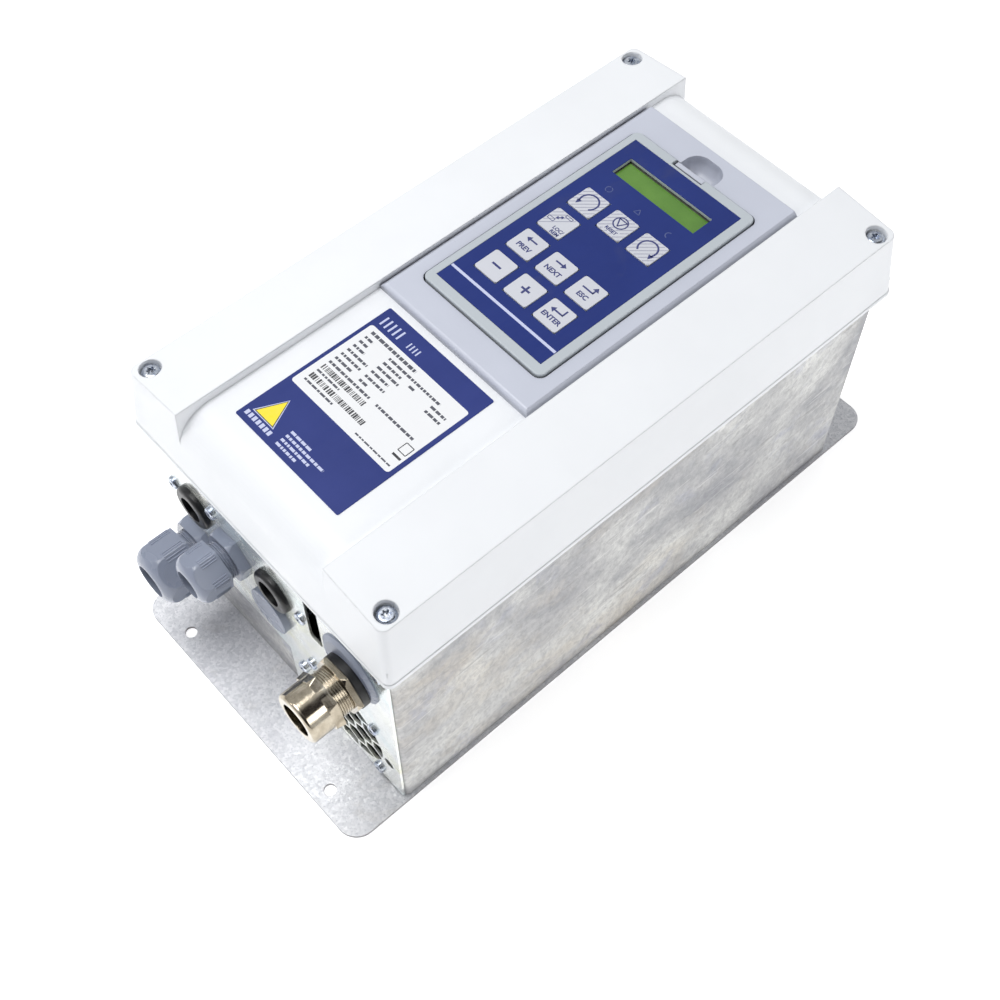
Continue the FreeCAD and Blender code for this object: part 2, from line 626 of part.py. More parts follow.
def heatsink():
    """Extruded aluminium: a thick base with fins down to the mounting plate."""
    owner = body("sink")
    base = sketch(owner, "sink_base_sketch", "XZ_Plane")
    rectangle(base, "sink_left", "sink_left+sink_width", "sink_top-sink_base", "sink_top")
    pad(owner, "sink_base_pad", base, "sink_length")
    fin = sketch(owner, "sink_fin_sketch", "XZ_Plane")
    rectangle(fin, "sink_left", "sink_left+fin_thick", "plate_thick", "sink_top-sink_base+1")
    fin_pad = pad(owner, "sink_fin_pad", fin, "sink_length")
    pattern = owner.newObject("PartDesign::LinearPattern", "sink_fins")
    pattern.Originals = [fin_pad]
    pattern.Direction = (fin, ["H_Axis"])
    bind(pattern, Length="sink_width-fin_thick", Occurrences="fin_count")
    owner.Tip = pattern
    keep(owner, "heatsink", (0, "sink_start+sink_length", 0))


# ---------------------------------------------------------------- power electronics
def power_module():
    base = span("module_base", 18, 82, -62, 62, "sink_top", "sink_top+3")
    case = span("module_case", 21, 79, -56, 56, "sink_top+3", "sink_top+15")
    case = round_edges("module_case_round", case, 3, rises)
    pins = [span(f"module_pin_{side}_{number}", f"{26 + 44 * side}", f"{28 + 44 * side}",
                 f"{-50 + 14 * number}", f"{-48 + 14 * number}", "sink_top+14.9", "power_board_z-0.1")
            for side in (0, 1) for number in range(8)]
    keep(fuse("module_body", base, case, *pins), "power_module")


BOARD_POSTS = [(-82, -110), (-82, 0), (-82, 132), (86, -110), (86, 0), (86, 132)]
UPPER_POSTS = [(-74, -78), (-74, 116), (74, -78), (74, 116)]


def power_board():
    holes = [(x, y, 1.9) for x, y in BOARD_POSTS]
    board = slab("power_board_body", "-power_board_half", "power_board_half+2", "power_board_start",
                 "power_board_start+power_board_length", "power_board_z", "board_thick", holes)
    keep(board, "power_board")


def power_board_standoffs():
    posts = []
    for number, (x, y) in enumerate(BOARD_POSTS):
        foot = "plate_thick" if x < 0 else "sink_top"
        posts.append(hexagon(f"power_post_{number}", 7, f"power_board_z-({foot})", (x, y, foot)))
    keep(group("power_posts", *posts), "power_board_standoffs")


def dc_capacitors():
    """Four electrolytic cans hanging under the power board beside the heat sink."""
    cans = []
    for number, (x, y) in enumerate(((-62, 50), (-22, 50), (-62, 92), (-22, 92))):
        can = rod(f"can_{number}", 17.5, 54, (x, y, "power_board_z-54"))
        cans.append(round_edges(f"can_round_{number}", can, 2, at_height(dim("power_board_z") - 54)))
    keep(group("cans", *cans), "dc_capacitors")


def dc_choke():
    """Laminated core with two legs and a winding on each."""
    core = span("core_outer", -80, -20, -104, -34, "plate_thick+2", "plate_thick+32")
    window = span("core_window", -62, -38, -86, -52, 0, 60)
    foot = span("core_foot", -84, -16, -90, -48, "plate_thick", "plate_thick+2")
    keep(fuse("core_solid", cut("core_cut", core, window), foot), "dc_choke_core")
    coils = []
    for number, middle in enumerate((-71, -29)):
        outer = span(f"coil_outer_{number}", middle - 14 + 2, middle + 14 - 2, -85, -53,
                     "plate_thick+2.1", "plate_thick+38")
        hole = span(f"coil_hole_{number}", middle - 9.2, middle + 9.2, -90, -40, "plate_thick+1",
                    "plate_thick+32.1")
        coil = round_edges(f"coil_round_{number}", outer, 2.5, at_height(dim("plate_thick") + 38))
        coils.append(cut(f"coil_{number}", coil, hole))
    keep(group("coils", *coils), "dc_choke_winding")


def pole_strip(name, poles, pitch, depth, height, base):
    """Terminal strip: a padded housing with a wire mouth and a screw well for every pole."""
    owner = body(name)
    face = sketch(owner, name + "_outline")
    rectangle(face, 0, poles * pitch, 0, depth)
    pad(owner, name + "_pad", face, height)
    doc.recompute()
    wells = sketch(owner, name + "_wells", offset=height * 0.45)
    for pole in range(poles):
        circle(wells, (pole + 0.5) * pitch, depth * 0.62, pitch * 0.33)
    pocket(owner, name + "_well_pocket", wells, height)
    mouths = sketch(owner, name + "_mouths", "XZ_Plane")
    for pole in range(poles):
        rectangle(mouths, (pole + 0.15) * pitch, (pole + 0.85) * pitch, height * 0.12, height * 0.36)
    mouth_cut = owner.newObject("PartDesign::Pocket", name + "_mouth_pocket")
    mouth_cut.Profile = mouths
    mouth_cut.Reversed = False
    bind(mouth_cut, Length=depth * 0.7)
    return place(owner, base)


def terminals():
    top = "power_board_z+board_thick"
    keep(pole_strip("mains_strip", 8, 14, 26, 24, ("-72", "power_board_start+1", top)),
         "power_terminals")
    lift = "control_board_z+board_thick"
    strips = [pole_strip(f"control_strip_{number}", 11, 5.08, 12, 13,
                         (f"-62+{number}*66", "control_board_start+1", lift)) for number in (0, 1)]
    keep(group("control_strips", *strips), "control_terminals")


def earth_stud():
    stud = rod("stud", 2.9, 24, (-36, -146, "plate_thick"))
    nuts = [hexagon(f"stud_nut_{number}", 10, 4.5, (-36, -146, f"plate_thick+{0.01 + 10 * number}"))
            for number in (0, 1)]
    keep(fuse("stud_solid", stud, *nuts), "earth_stud")


def control_boards():
    shield_holes = [(x, y, 2) for x, y in UPPER_POSTS]
    shield = slab("shield_body", -82, 84, -84, 124, "shield_z", 1, shield_holes)
    keep(shield, "board_shield")
    board = slab("control_board_body", "-control_board_half", "control_board_half",
                 "control_board_start", "control_board_start+control_board_length",
                 "control_board_z", "board_thick", shield_holes)
    keep(board, "control_board")
    posts = []
    floor = "power_board_z+board_thick"
    for number, (x, y) in enumerate(UPPER_POSTS):
        posts.append(hexagon(f"shield_post_{number}", 6, f"shield_z-({floor})", (x, y, floor)))
        posts.append(hexagon(f"control_post_{number}", 6, "control_board_z-shield_z-1",
                             (x, y, "shield_z+1")))
    keep(group("control_posts", *posts), "control_board_standoffs")


# ---------------------------------------------------------------- front cover
def drafted(inset):
    """Half width and half length of the cover at a height, moved in by inset."""
    def half_width(height):
        return f"cover_half_width-(({height})-rim_height)*draft_across-({inset})"

    def half_length(height):
        return f"cover_half_length-(({height})-rim_height)*draft_along-({inset})"
    return half_width, half_length


def cover_form(name, inset, low):
    """The cover's solid form: two sloping rails and a lower centre with rounded noses."""
    half_width, half_length = drafted(inset)
    shift = dim(inset) if inset in DIMENSIONS else float(inset)
    hull = wedge(name + "_hull", low, "cover_top", half_width, half_length)
    hull = round_edges(name + "_corners", hull, dim("cover_corner") - shift, rises)
    rails = []
    for side in (-1, 1):
        owner = body(f"{name}_rail_{side + 1}")
        face = sketch(owner, f"{name}_rail_face_{side + 1}", "XZ_Plane")
        edge = f"rail_inner+({inset})"
        reach = 120
        drop = f"cover_top-({inset})-({reach}-rail_inner)*rail_slope"
        outline(face, [(f"{side}*({edge})", low), (f"{side}*{reach}", low), (f"{side}*{reach}", drop),
                       (f"{side}*({edge})", f"cover_top-({inset})-({inset})*rail_slope")])
        pad(owner, f"{name}_rail_pad_{side + 1}", face, 400)
        place(owner, (0, 200, 0))
        rails.append(owner)
    sides = common(name + "_sides", hull, fuse(name + "_rails", *rails))
    floor = f"floor_height-({inset})"
    centre = wedge(name + "_centre", low, floor, lambda height: f"rail_inner+({inset})", half_length)
    top = dim("floor_height") - shift
    centre = round_edges(name + "_noses", centre, dim("nose_radius") - shift,
                         lambda edge: at_height(top)(edge) and edge.BoundBox.YLength < 1e-3)
    return fuse(name + "_form", sides, centre)


def front_cover():
    outer = cover_form("cover_outer", "0", "rim_height")
    inner = cover_form("cover_inner", "cover_wall", "rim_height-1")
    band_width, band_length = drafted("-lip_proud")
    band = wedge("cover_band", "rim_height", "rim_height+lip_height", band_width, band_length)
    band = round_edges("cover_band_corners", band, "cover_corner", rises)
    shell = cut("cover_shell", fuse("cover_skin", outer, band), inner)
    ledge_width, ledge_length = drafted("1")
    ledge = wedge("cover_ledge", "ledge_bottom", "ledge_bottom+ledge_thick", ledge_width, ledge_length)
    opening = span("cover_ledge_opening", "-ledge_half_width", "ledge_half_width",
                   "-ledge_half_length", "ledge_half_length+0.5", "ledge_bottom-5", "ledge_bottom+10")
    ledge = cut("cover_ledge_ring", ledge, opening)
    bosses = [rod(f"cover_boss_{number}", "boss_radius", "pocket_floor+2-ledge_bottom-1",
                  (x, y, "ledge_bottom+1")) for number, (x, y) in enumerate(corner_points())]
    inside = cover_form("cover_limit", "0.5", "rim_height")
    lumps = common("cover_boss_form", fuse("cover_bosses", *bosses), inside)
    solid = fuse("cover_solid", shell, ledge, lumps)
    tools = []
    for number, (x, y) in enumerate(corner_points()):
        tools.append(rod(f"cover_pocket_{number}", "pocket_radius", 20, (x, y, "pocket_floor")))
        tools.append(rod(f"cover_drill_{number}", "cover_screw_hole", 60, (x, y, "pocket_floor-50")))
    tools.append(span("cover_window", "-tray_half-0.5", "tray_half+0.5", "tray_start-0.5", "tray_stop+0.5",
                      "floor_height-10", "floor_height+10"))
    tools.append(span("cover_scoop_window", "-scoop_half-4", "scoop_half+4", "tray_stop",
                      "scoop_end+4", "floor_height-10", "floor_height+10"))
    keep(cut("cover_body", solid, *tools), "front_cover")


def cover_screws():
    screws = []
    for number, (x, y) in enumerate(corner_points()):
        screw = pan_screw(f"cover_screw_{number}", "screw_shank", "pocket_floor-148", "screw_head",
                          "screw_head_height")
        screws.append(place(screw, (x, y, "pocket_floor+0.02")))
    keep(group("cover_screw_group", *screws), "cover_screws")


def bezel():
    """Frame in the cover's channel with a tray for the control panel and a finger scoop."""
    top = span("bezel_top", "-bezel_half_width", "bezel_half_width", "bezel_bottom", "bezel_end",
               "floor_height", "cover_top")
    top = round_edges("bezel_bevels", top, "bezel_bevel",
                      lambda edge: at_height(dim("cover_top"))(edge) and edge.BoundBox.XLength < 1e-3,
                      chamfer=True)
    nose = dim("bezel_bottom")
    top = round_edges("bezel_nose", top, 2.6,
                      lambda edge: at_height(dim("cover_top"))(edge)
                      and abs(edge.BoundBox.YMax - nose) < 1e-3)
    tray = span("bezel_tray", "-tray_half", "tray_half", "tray_start", "tray_stop",
                "tray_floor-tray_wall", "floor_height+1")
    cup = span("bezel_cup", "-scoop_half-3.4", "scoop_half+3.4", "tray_stop-1", "scoop_end+3.4",
               "scoop_floor-tray_wall", "floor_height+1")
    well = span("bezel_well", "-panel_half_width-pocket_gap", "panel_half_width+pocket_gap",
                "panel_start-pocket_gap", "panel_start+panel_length+pocket_gap", "tray_floor",
                "cover_top+5")
    well = round_edges("bezel_well_corners", well, dim("panel_corner") + dim("pocket_gap"), rises)
    scoop = span("scoop_block", "-scoop_half", "scoop_half", "panel_start+panel_length-2", "scoop_end",
                 "scoop_floor", "cover_top+8")
    scoop_end = dim("scoop_end")
    scoop = round_edges("scoop_corners", scoop, 8.5,
                        lambda edge: rises(edge) and abs(edge.BoundBox.YMax - scoop_end) < 1e-3)
    scoop_floor = dim("scoop_floor")
    scoop = round_edges("scoop_bowl", scoop, 7.5,
                        lambda edge: at_height(scoop_floor)(edge)
                        and edge.BoundBox.YMax > dim("panel_start") + dim("panel_length"))
    plug_hole = span("bezel_plug_hole", -17, 17, 96, 110, "tray_floor-10", "tray_floor+1")
    solid = cut("bezel_solid", fuse("bezel_blank", top, tray, cup), well, scoop, plug_hole)
    keep(solid, "bezel")


def rating_label():
    label = slab("label_body", "label_x-label_width/2", "label_x+label_width/2",
                 "label_y-label_length/2", "label_y+label_length/2", "floor_height", "label_thick",
                 corner="1")
    keep(label, "rating_label")


def panel_socket():
    """Socket under the tray that the control panel plugs into."""
    shell = span("socket_shell", -20, 20, 93, 113, "tray_floor-11", "tray_floor-tray_wall")
    cavity = span("socket_cavity", -16.5, 16.5, 96.5, 109.5, "tray_floor-8", "tray_floor")
    tail = span("socket_tail", -14, 14, 98, 108, "tray_floor-15", "tray_floor-10.9")
    keep(fuse("socket_solid", cut("socket_cut", shell, cavity), tail), "panel_socket")


# ---------------------------------------------------------------- control panel
KEYS = {
    "key_run_left": (-1, 3), "key_stop": (0, 3), "key_run_right": (1, 3),
    "key_local_remote": (-1, 2),
    "key_previous": (-1, 1), "key_next": (0, 1), "key_escape": (1, 1),
    "key_minus": (-1, 0), "key_plus": (0, 0), "key_enter": (1, 0),
}


def key_place(column, line):
    return f"key_column+{column}*key_pitch", f"key_row+{line}*key_pitch"


def key_holes(prefix, low, high, gap):
    holes = []
    for node, (column, line) in KEYS.items():
        x, y = key_place(column, line)
        hole = span(f"{prefix}_{node}", f"{x}-key_width/2-{gap}", f"{x}+key_width/2+{gap}",
                    f"{y}-key_length/2-{gap}", f"{y}+key_length/2+{gap}", low, high)
        holes.append(hole)
    return holes


def window_block(name, low, high):
    return span(name, "window_x-window_half_width", "window_x+window_half_width",
                "window_y-window_half_length", "window_y+window_half_length", low, high)


def panel_frame():
    """Front moulding: outer walls and a skin with the key and display openings."""
    stop = "panel_start+panel_length"
    outer = span("frame_outer", "-panel_half_width", "panel_half_width", "panel_start", stop,
                 "panel_split", "panel_front")
    outer = round_edges("frame_corners", outer, "panel_corner", rises)
    front = dim("panel_front")
    outer = round_edges("frame_top_edge", outer, 0.7, at_height(front))
    inner = span("frame_inner", "2-panel_half_width", "panel_half_width-2", "panel_start+2",
                 f"{stop}-2", "panel_split-1", "panel_front-panel_skin")
    inner = round_edges("frame_inner_corners", inner, 2, rises)
    recess = span("frame_recess", "overlay_x-overlay_half_width", "overlay_x+overlay_half_width",
                  "overlay_y-overlay_half_length", "overlay_y+overlay_half_length",
                  "panel_front-overlay_thick", "panel_front+1")
    notch = span("frame_latch_notch", "latch_x-latch_width/2-latch_notch",
                 "latch_x+latch_width/2+latch_gap", f"{stop}-latch_depth-latch_travel-latch_gap",
                 f"{stop}+1", "panel_split-1", "panel_front+1")
    frame = cut("frame_solid", outer, inner, recess, notch,
                window_block("frame_window", "panel_front-5", "panel_front+1"),
                *key_holes("frame_hole", "panel_front-5", "panel_front+1", "key_gap"))
    keep(frame, "panel_frame")


def panel_back():
    stop = "panel_start+panel_length"
    plate = span("back_plate", "-panel_half_width", "panel_half_width", "panel_start", stop,
                 "panel_back_face", "panel_split")
    plate = round_edges("back_corners", plate, "panel_corner", rises)
    hollow = span("back_hollow", "2.5-panel_half_width", "panel_half_width-2.5", "panel_start+2.5",
                  f"{stop}-7", "panel_back_face+1.5", "panel_split+1")
    slot = span("back_plug_slot", -14.2, 14.2, 99.8, 106.2, "panel_back_face-1", "panel_split")
    room = span("back_latch_room", "latch_x-latch_width/2-latch_gap", "latch_x+latch_width/2+latch_gap",
                f"{stop}-latch_depth-latch_travel-latch_gap", f"{stop}+1", "panel_back_face+1",
                "panel_split+1")
    posts = [rod(f"back_post_{number}", 2.5, "board_height-panel_back_face-1", (x, y, "panel_back_face+1"))
             for number, (x, y) in enumerate(((-34, -20), (34, -20), (-34, 108), (34, 108)))]
    shell = cut("back_cut", plate, hollow, slot, room)
    keep(fuse("back_solid", shell, *posts), "panel_back")


def panel_insides():
    holes = [(x, y, 1.2) for x in (-34, 34) for y in (-20, 108)]
    board = slab("panel_board_body", -38, 38, -25, 113, "board_height", "board_thick", holes)
    keep(board, "panel_board")
    plug = span("plug_body", -14, 14, 100, 106, "tray_floor-7", "board_height")
    keep(plug, "panel_plug")
    top = "board_height+board_thick"
    module = span("lcd_base", "window_x-36", "window_x+36", "window_y-12", "window_y+12", top,
                  "glass_height")
    recess = window_block("lcd_recess", "glass_height-1", "glass_height+1")
    keep(cut("lcd_frame", module, recess), "lcd_module")
    keep(window_block("lcd_pane", "glass_height-1", "glass_height-0.1"), "lcd_glass")


def panel_overlay():
    foil = slab("overlay_body", "overlay_x-overlay_half_width+0.15", "overlay_x+overlay_half_width-0.15",
                "overlay_y-overlay_half_length+0.15", "overlay_y+overlay_half_length-0.15",
                "panel_front-overlay_thick", "overlay_thick")
    overlay = cut("overlay_solid", foil,
                  window_block("overlay_window", "panel_front-5", "panel_front+1"),
                  *key_holes("overlay_hole", "panel_front-5", "panel_front+1", "key_gap"))
    keep(overlay, "panel_overlay")


def key_cap(node, column, line):
    """One key: a cap through the frame, a retaining flange under it and a stem over its dome."""
    x, y = key_place(column, line)
    owner = body(node + "_body")
    cap = sketch(owner, node + "_cap")
    rectangle(cap, "-key_width/2", "key_width/2", "-key_length/2", "key_length/2")
    pad(owner, node + "_cap_pad", cap, "panel_skin+0.6+key_proud")
    doc.recompute()
    soften(owner, node + "_corners", "key_corner")
    flange = sketch(owner, node + "_flange", offset=-0.9)
    rectangle(flange, "-key_width/2-0.9", "key_width/2+0.9", "-key_length/2-0.9", "key_length/2+0.9")
    pad(owner, node + "_flange_pad", flange, 1)
    stem = sketch(owner, node + "_stem", offset="board_height+board_thick+1-(panel_front-panel_skin-0.6)")
    circle(stem, 0, 0, 1.6)
    pad(owner, node + "_stem_pad", stem, "panel_front-panel_skin-0.6-board_height-board_thick-1.2")
    keep(owner, node, (x, y, "panel_front-panel_skin-0.6"))


def panel_latch():
    """Sprung tab at the panel's top edge, pressed towards the panel through the finger scoop."""
    stop = "panel_start+panel_length"
    tab = span("latch_tab", "latch_x-latch_width/2", "latch_x+latch_width/2", f"{stop}-latch_depth",
               stop, "panel_split+2", "panel_front-0.6")
    front = dim("panel_front") - 0.6
    tab = round_edges("latch_round", tab, 0.5, at_height(front))
    foot = span("latch_foot", "latch_x-6", "latch_x+6", f"{stop}-latch_depth", f"{stop}-0.6",
                "panel_back_face+1.6", "panel_split+2.1")
    keep(fuse("latch_solid", tab, foot), "panel_latch")


# ---------------------------------------------------------------- build and write
def add_derived_cells():
    """Cells worked out from the driving dimensions."""
    derived = {
        "tray_half": "=panel_half_width+pocket_gap+tray_wall",
        "tray_start": "=panel_start-pocket_gap-tray_wall",
        "tray_stop": "=panel_start+panel_length+pocket_gap+tray_wall",
    }
    for line, (alias, text) in enumerate(derived.items(), start=len(DIMENSIONS) + 1):
        sheet.set(f"A{line}", alias)
        sheet.set(f"B{line}", text)
        sheet.setAlias(f"B{line}", alias)
    doc.recompute()


def build():
    add_derived_cells()
    mounting_plate()
    chassis_box()
    cover_screw_posts()
    cover_gasket()
    gland_plate()
    panel_screws()
    fan_screws()
    rubber_ring("grommet_left", "left_ring_x")
    rubber_ring("grommet_right", "right_ring_x")
    blanking_plug()
    for gland in (LARGE_GLAND, SMALL_GLAND, METAL_GLAND):
        gland_body(gland)
        gland_seal(gland)
        gland_nut(gland)
    gland_reducer()
    gland_washer()
    gland_locknuts()
    fan_housing()
    fan_rotor()
    heatsink()
    power_module()
    power_board()
    power_board_standoffs()
    dc_capacitors()
    dc_choke()
    terminals()
    earth_stud()
    control_boards()
    front_cover()
    cover_screws()
    bezel()
    rating_label()
    panel_socket()
    panel_frame()
    panel_back()
    panel_insides()
    panel_overlay()
    for node, (column, line) in KEYS.items():
        key_cap(node, column, line)
    panel_latch()
    doc.recompute()


def check():
    for item in doc.Objects:
        if "Invalid" in item.State or "Error" in item.State:
            raise RuntimeError(f"{item.Label} failed: {item.State}")
    for item in nodes:
        if item.Shape.isNull() or not item.Shape.isValid():
            raise RuntimeError(f"{item.Label} has no valid shape")


def write():
    os.makedirs("parts", exist_ok=True)
    for item in nodes:
        item.Shape.exportStep(f"parts/{item.Label}.step")


build()
check()
write()
print(len(nodes), "sub-parts written")
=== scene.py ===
"""Looks for the variable frequency drive: materials, printed detail, moulded detail, light and camera."""
import bmesh
import bpy
import json
import math
import random
from mathutils import Matrix, Vector
from types import SimpleNamespace


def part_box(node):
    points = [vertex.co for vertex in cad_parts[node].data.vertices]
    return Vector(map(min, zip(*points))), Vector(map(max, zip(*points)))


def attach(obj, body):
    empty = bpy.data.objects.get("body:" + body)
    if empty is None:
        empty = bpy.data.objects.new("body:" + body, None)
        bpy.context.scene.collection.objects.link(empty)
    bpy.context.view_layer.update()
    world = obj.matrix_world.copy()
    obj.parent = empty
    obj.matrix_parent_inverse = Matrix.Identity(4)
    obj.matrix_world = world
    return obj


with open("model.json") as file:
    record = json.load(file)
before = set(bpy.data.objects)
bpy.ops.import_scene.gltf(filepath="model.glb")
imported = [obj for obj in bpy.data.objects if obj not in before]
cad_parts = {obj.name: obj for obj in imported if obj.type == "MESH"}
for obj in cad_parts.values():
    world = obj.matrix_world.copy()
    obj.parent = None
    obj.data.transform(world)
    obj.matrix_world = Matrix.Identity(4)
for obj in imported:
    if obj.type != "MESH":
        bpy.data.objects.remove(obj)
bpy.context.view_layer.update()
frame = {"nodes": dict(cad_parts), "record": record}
MM = 0.001
INK_THICK = 0.00002
SHEET_THICK = 0.00003
LEGEND_THICK = 0.00004
random.seed(11)


# ---------------------------------------------------------------- colour and node helpers
def srgb(red, green, blue):
    """Linear colour from 0-255 screen values."""
    def linear(value):
        value /= 255
        return value / 12.92 if value <= 0.04045 else ((value + 0.055) / 1.055) ** 2.4
    return (linear(red), linear(green), linear(blue), 1)


class Look:
    """A principled material with short ways to add texture nodes."""

    def __init__(self, name, color, roughness, metallic=0.0, **sockets):
        self.material = bpy.data.materials.new(name)
        self.material.use_nodes = True
        self.tree = self.material.node_tree
        self.shader = self.tree.nodes["Principled BSDF"]
        self.shader.inputs["Base Color"].default_value = color
        self.shader.inputs["Roughness"].default_value = roughness
        self.shader.inputs["Metallic"].default_value = metallic
        for key, value in sockets.items():
            self.shader.inputs[key.replace("_", " ")].default_value = value
        self.place = self.node("ShaderNodeTexCoord").outputs["Object"]

    def node(self, kind, **settings):
        """Add a node and set its own properties."""
        made = self.tree.nodes.new(kind)
        for key, value in settings.items():
            setattr(made, key, value)
        return made

    def link(self, start, end):
        self.tree.links.new(start, end)

    def stretched(self, scale, turn=(0, 0, 0)):
        """Object coordinates scaled and turned, for patterns longer one way."""
        mapping = self.node("ShaderNodeMapping")
        mapping.inputs["Scale"].default_value = scale
        mapping.inputs["Rotation"].default_value = turn
        self.link(self.place, mapping.inputs["Vector"])
        return mapping.outputs["Vector"]

    def noise(self, scale, detail=3, roughness=0.55, distortion=0.0, stretch=None, turn=(0, 0, 0)):
        made = self.node("ShaderNodeTexNoise")
        made.inputs["Scale"].default_value = scale
        made.inputs["Detail"].default_value = detail
        made.inputs["Roughness"].default_value = roughness
        made.inputs["Distortion"].default_value = distortion
        self.link(self.stretched(stretch, turn) if stretch else self.place, made.inputs["Vector"])
        return made.outputs["Fac"]

    def cells(self, scale, feature="F1", output="Color", stretch=None):
        made = self.node("ShaderNodeTexVoronoi", feature=feature)
        made.inputs["Scale"].default_value = scale
        self.link(self.stretched(stretch) if stretch else self.place, made.inputs["Vector"])
        return made.outputs[output]

    def ramp(self, value, *stops):
        made = self.node("ShaderNodeValToRGB")
        elements = made.color_ramp.elements
        while len(elements) < len(stops):
            elements.new(0.5)
        for element, (position, color) in zip(elements, stops):
            element.position = position
            element.color = color if len(color) == 4 else (*color, 1)
        self.link(value, made.inputs["Fac"])
        return made.outputs["Color"]

    def grey(self, value, low, high, dark=0.0, light=1.0):
        """Map a value's low..high to dark..light."""
        made = self.node("ShaderNodeMapRange")
        for key, number in (("From Min", low), ("From Max", high), ("To Min", dark), ("To Max", light)):
            made.inputs[key].default_value = number
        self.link(value, made.inputs["Value"])
        return made.outputs["Result"]

    def mix(self, amount, first, second, mode="MIX"):
        made = self.node("ShaderNodeMix", data_type="RGBA", blend_type=mode)
        for socket, value in ((made.inputs[0], amount), (made.inputs[6], first), (made.inputs[7], second)):
            if isinstance(value, bpy.types.NodeSocket):
                self.link(value, socket)
            else:
                socket.default_value = value
        return made.outputs[2]

    def shade_upright_faces(self, color, edge):
        """Colour of a plate with painted shade on its upright cut edges: faces that are not level take the
        darker colour.
        """
        place = self.node("ShaderNodeTexCoord")
        parts = self.node("ShaderNodeSeparateXYZ")
        self.link(place.outputs["Normal"], parts.inputs["Vector"])
        level = self.node("ShaderNodeMath", operation="ABSOLUTE")
        self.link(parts.outputs["Z"], level.inputs[0])
        return self.mix(self.grey(level.outputs[0], 0.3, 0.6, 1, 0), color, edge)

    def painted_hollow_shade(self, color, reach, dark=0.45):
        """Painted shade: darken the colour in recesses up to reach metres wide, found by ambient occlusion.
        """
        shade = self.node("ShaderNodeAmbientOcclusion", samples=8)
        shade.inputs["Distance"].default_value = reach
        level = self.grey(shade.outputs["AO"], 0.25, 0.95, dark, 1)
        return self.mix(1.0, color, level, "MULTIPLY")

    def color(self, value):
        self.link(value, self.shader.inputs["Base Color"])

    def roughness(self, value):
        self.link(value, self.shader.inputs["Roughness"])

    def bump(self, *layers, edge=0.0):
        """Stack bumps, each (height, strength, distance in metres); edge rounds corners by that radius."""
        normal = None
        if edge:
            soft = self.node("ShaderNodeBevel", samples=4)
            soft.inputs["Radius"].default_value = edge
            normal = soft.outputs["Normal"]
        for height, strength, distance in layers:
            made = self.node("ShaderNodeBump")
            made.inputs["Strength"].default_value = strength
            made.inputs["Distance"].default_value = distance
            self.link(height, made.inputs["Height"])
            if normal:
                self.link(normal, made.inputs["Normal"])
            normal = made.outputs["Normal"]
        self.link(normal, self.shader.inputs["Normal"])


# ---------------------------------------------------------------- materials
def moulded(name, color, roughness, grain=0.10, shade=0.03, scale=1500, edge=0.0006, hollow_shade_reach=0, **sockets):
    """Injection moulded plastic: fine eroded grain, faint flow shading and handling marks; where a reach is
    given, painted shade darkens the recesses.
    """
    look = Look(name, color, roughness, **sockets)
    darker = tuple(channel * (1 - shade * 3) for channel in color[:3])
    lighter = tuple(min(1, channel * (1 + shade)) for channel in color[:3])
    cloud = look.noise(9, 4, 0.6)
    tone = look.ramp(cloud, (0.3, darker), (0.62, lighter))
    # Where a reach is given, painted shade darkens the recesses.
    look.color(look.painted_hollow_shade(tone, hollow_shade_reach) if hollow_shade_reach else tone)
    smear = look.noise(38, 3, 0.6, 0.6)
    look.roughness(look.grey(smear, 0.3, 0.7, roughness - 0.07, roughness + 0.09))
    look.bump((look.noise(scale, 2, 0.6), grain, 0.0002), (cloud, 0.05, 0.002), edge=edge)
    return look.material


def galvanised_plate():
    """Hot dipped zinc with a fine spangle, scratches and dull patches."""
    look = Look("zinc_spangle", srgb(230, 232, 236), 0.42, 0.2)
    grains = look.cells(620)
    flakes = look.ramp(grains, (0.1, srgb(192, 194, 200)), (0.5, srgb(217, 218, 223)),
                       (0.9, srgb(241, 241, 245)))
    patches = look.noise(12, 4, 0.6)
    stain = look.ramp(patches, (0.36, srgb(206, 206, 211)), (0.58, srgb(240, 241, 243)))
    color = look.mix(0.4, flakes, stain)
    specks = look.grey(look.noise(900, 2, 0.7), 0.56, 0.68, 0, 0.7)
    color = look.mix(specks, color, srgb(182, 184, 192))
    smudge = look.grey(look.noise(34, 5, 0.7, 0.6), 0.58, 0.75, 0, 0.35)
    color = look.mix(smudge, color, srgb(184, 178, 172))
    # Painted shade: the plate's upright cut edges take a dark grey that stands for the shade along them.
    look.color(look.shade_upright_faces(color, srgb(128, 126, 128)))
    look.roughness(look.grey(look.noise(520, 2), 0.3, 0.7, 0.3, 0.56))
    scratch = look.noise(60, 2, 0.5, 0, (14, 0.5, 1), (0, 0, 0.5))
    look.bump((look.noise(800, 3), 0.16, 0.0002), (scratch, 0.05, 0.0003), edge=0.0005)
    return look.material


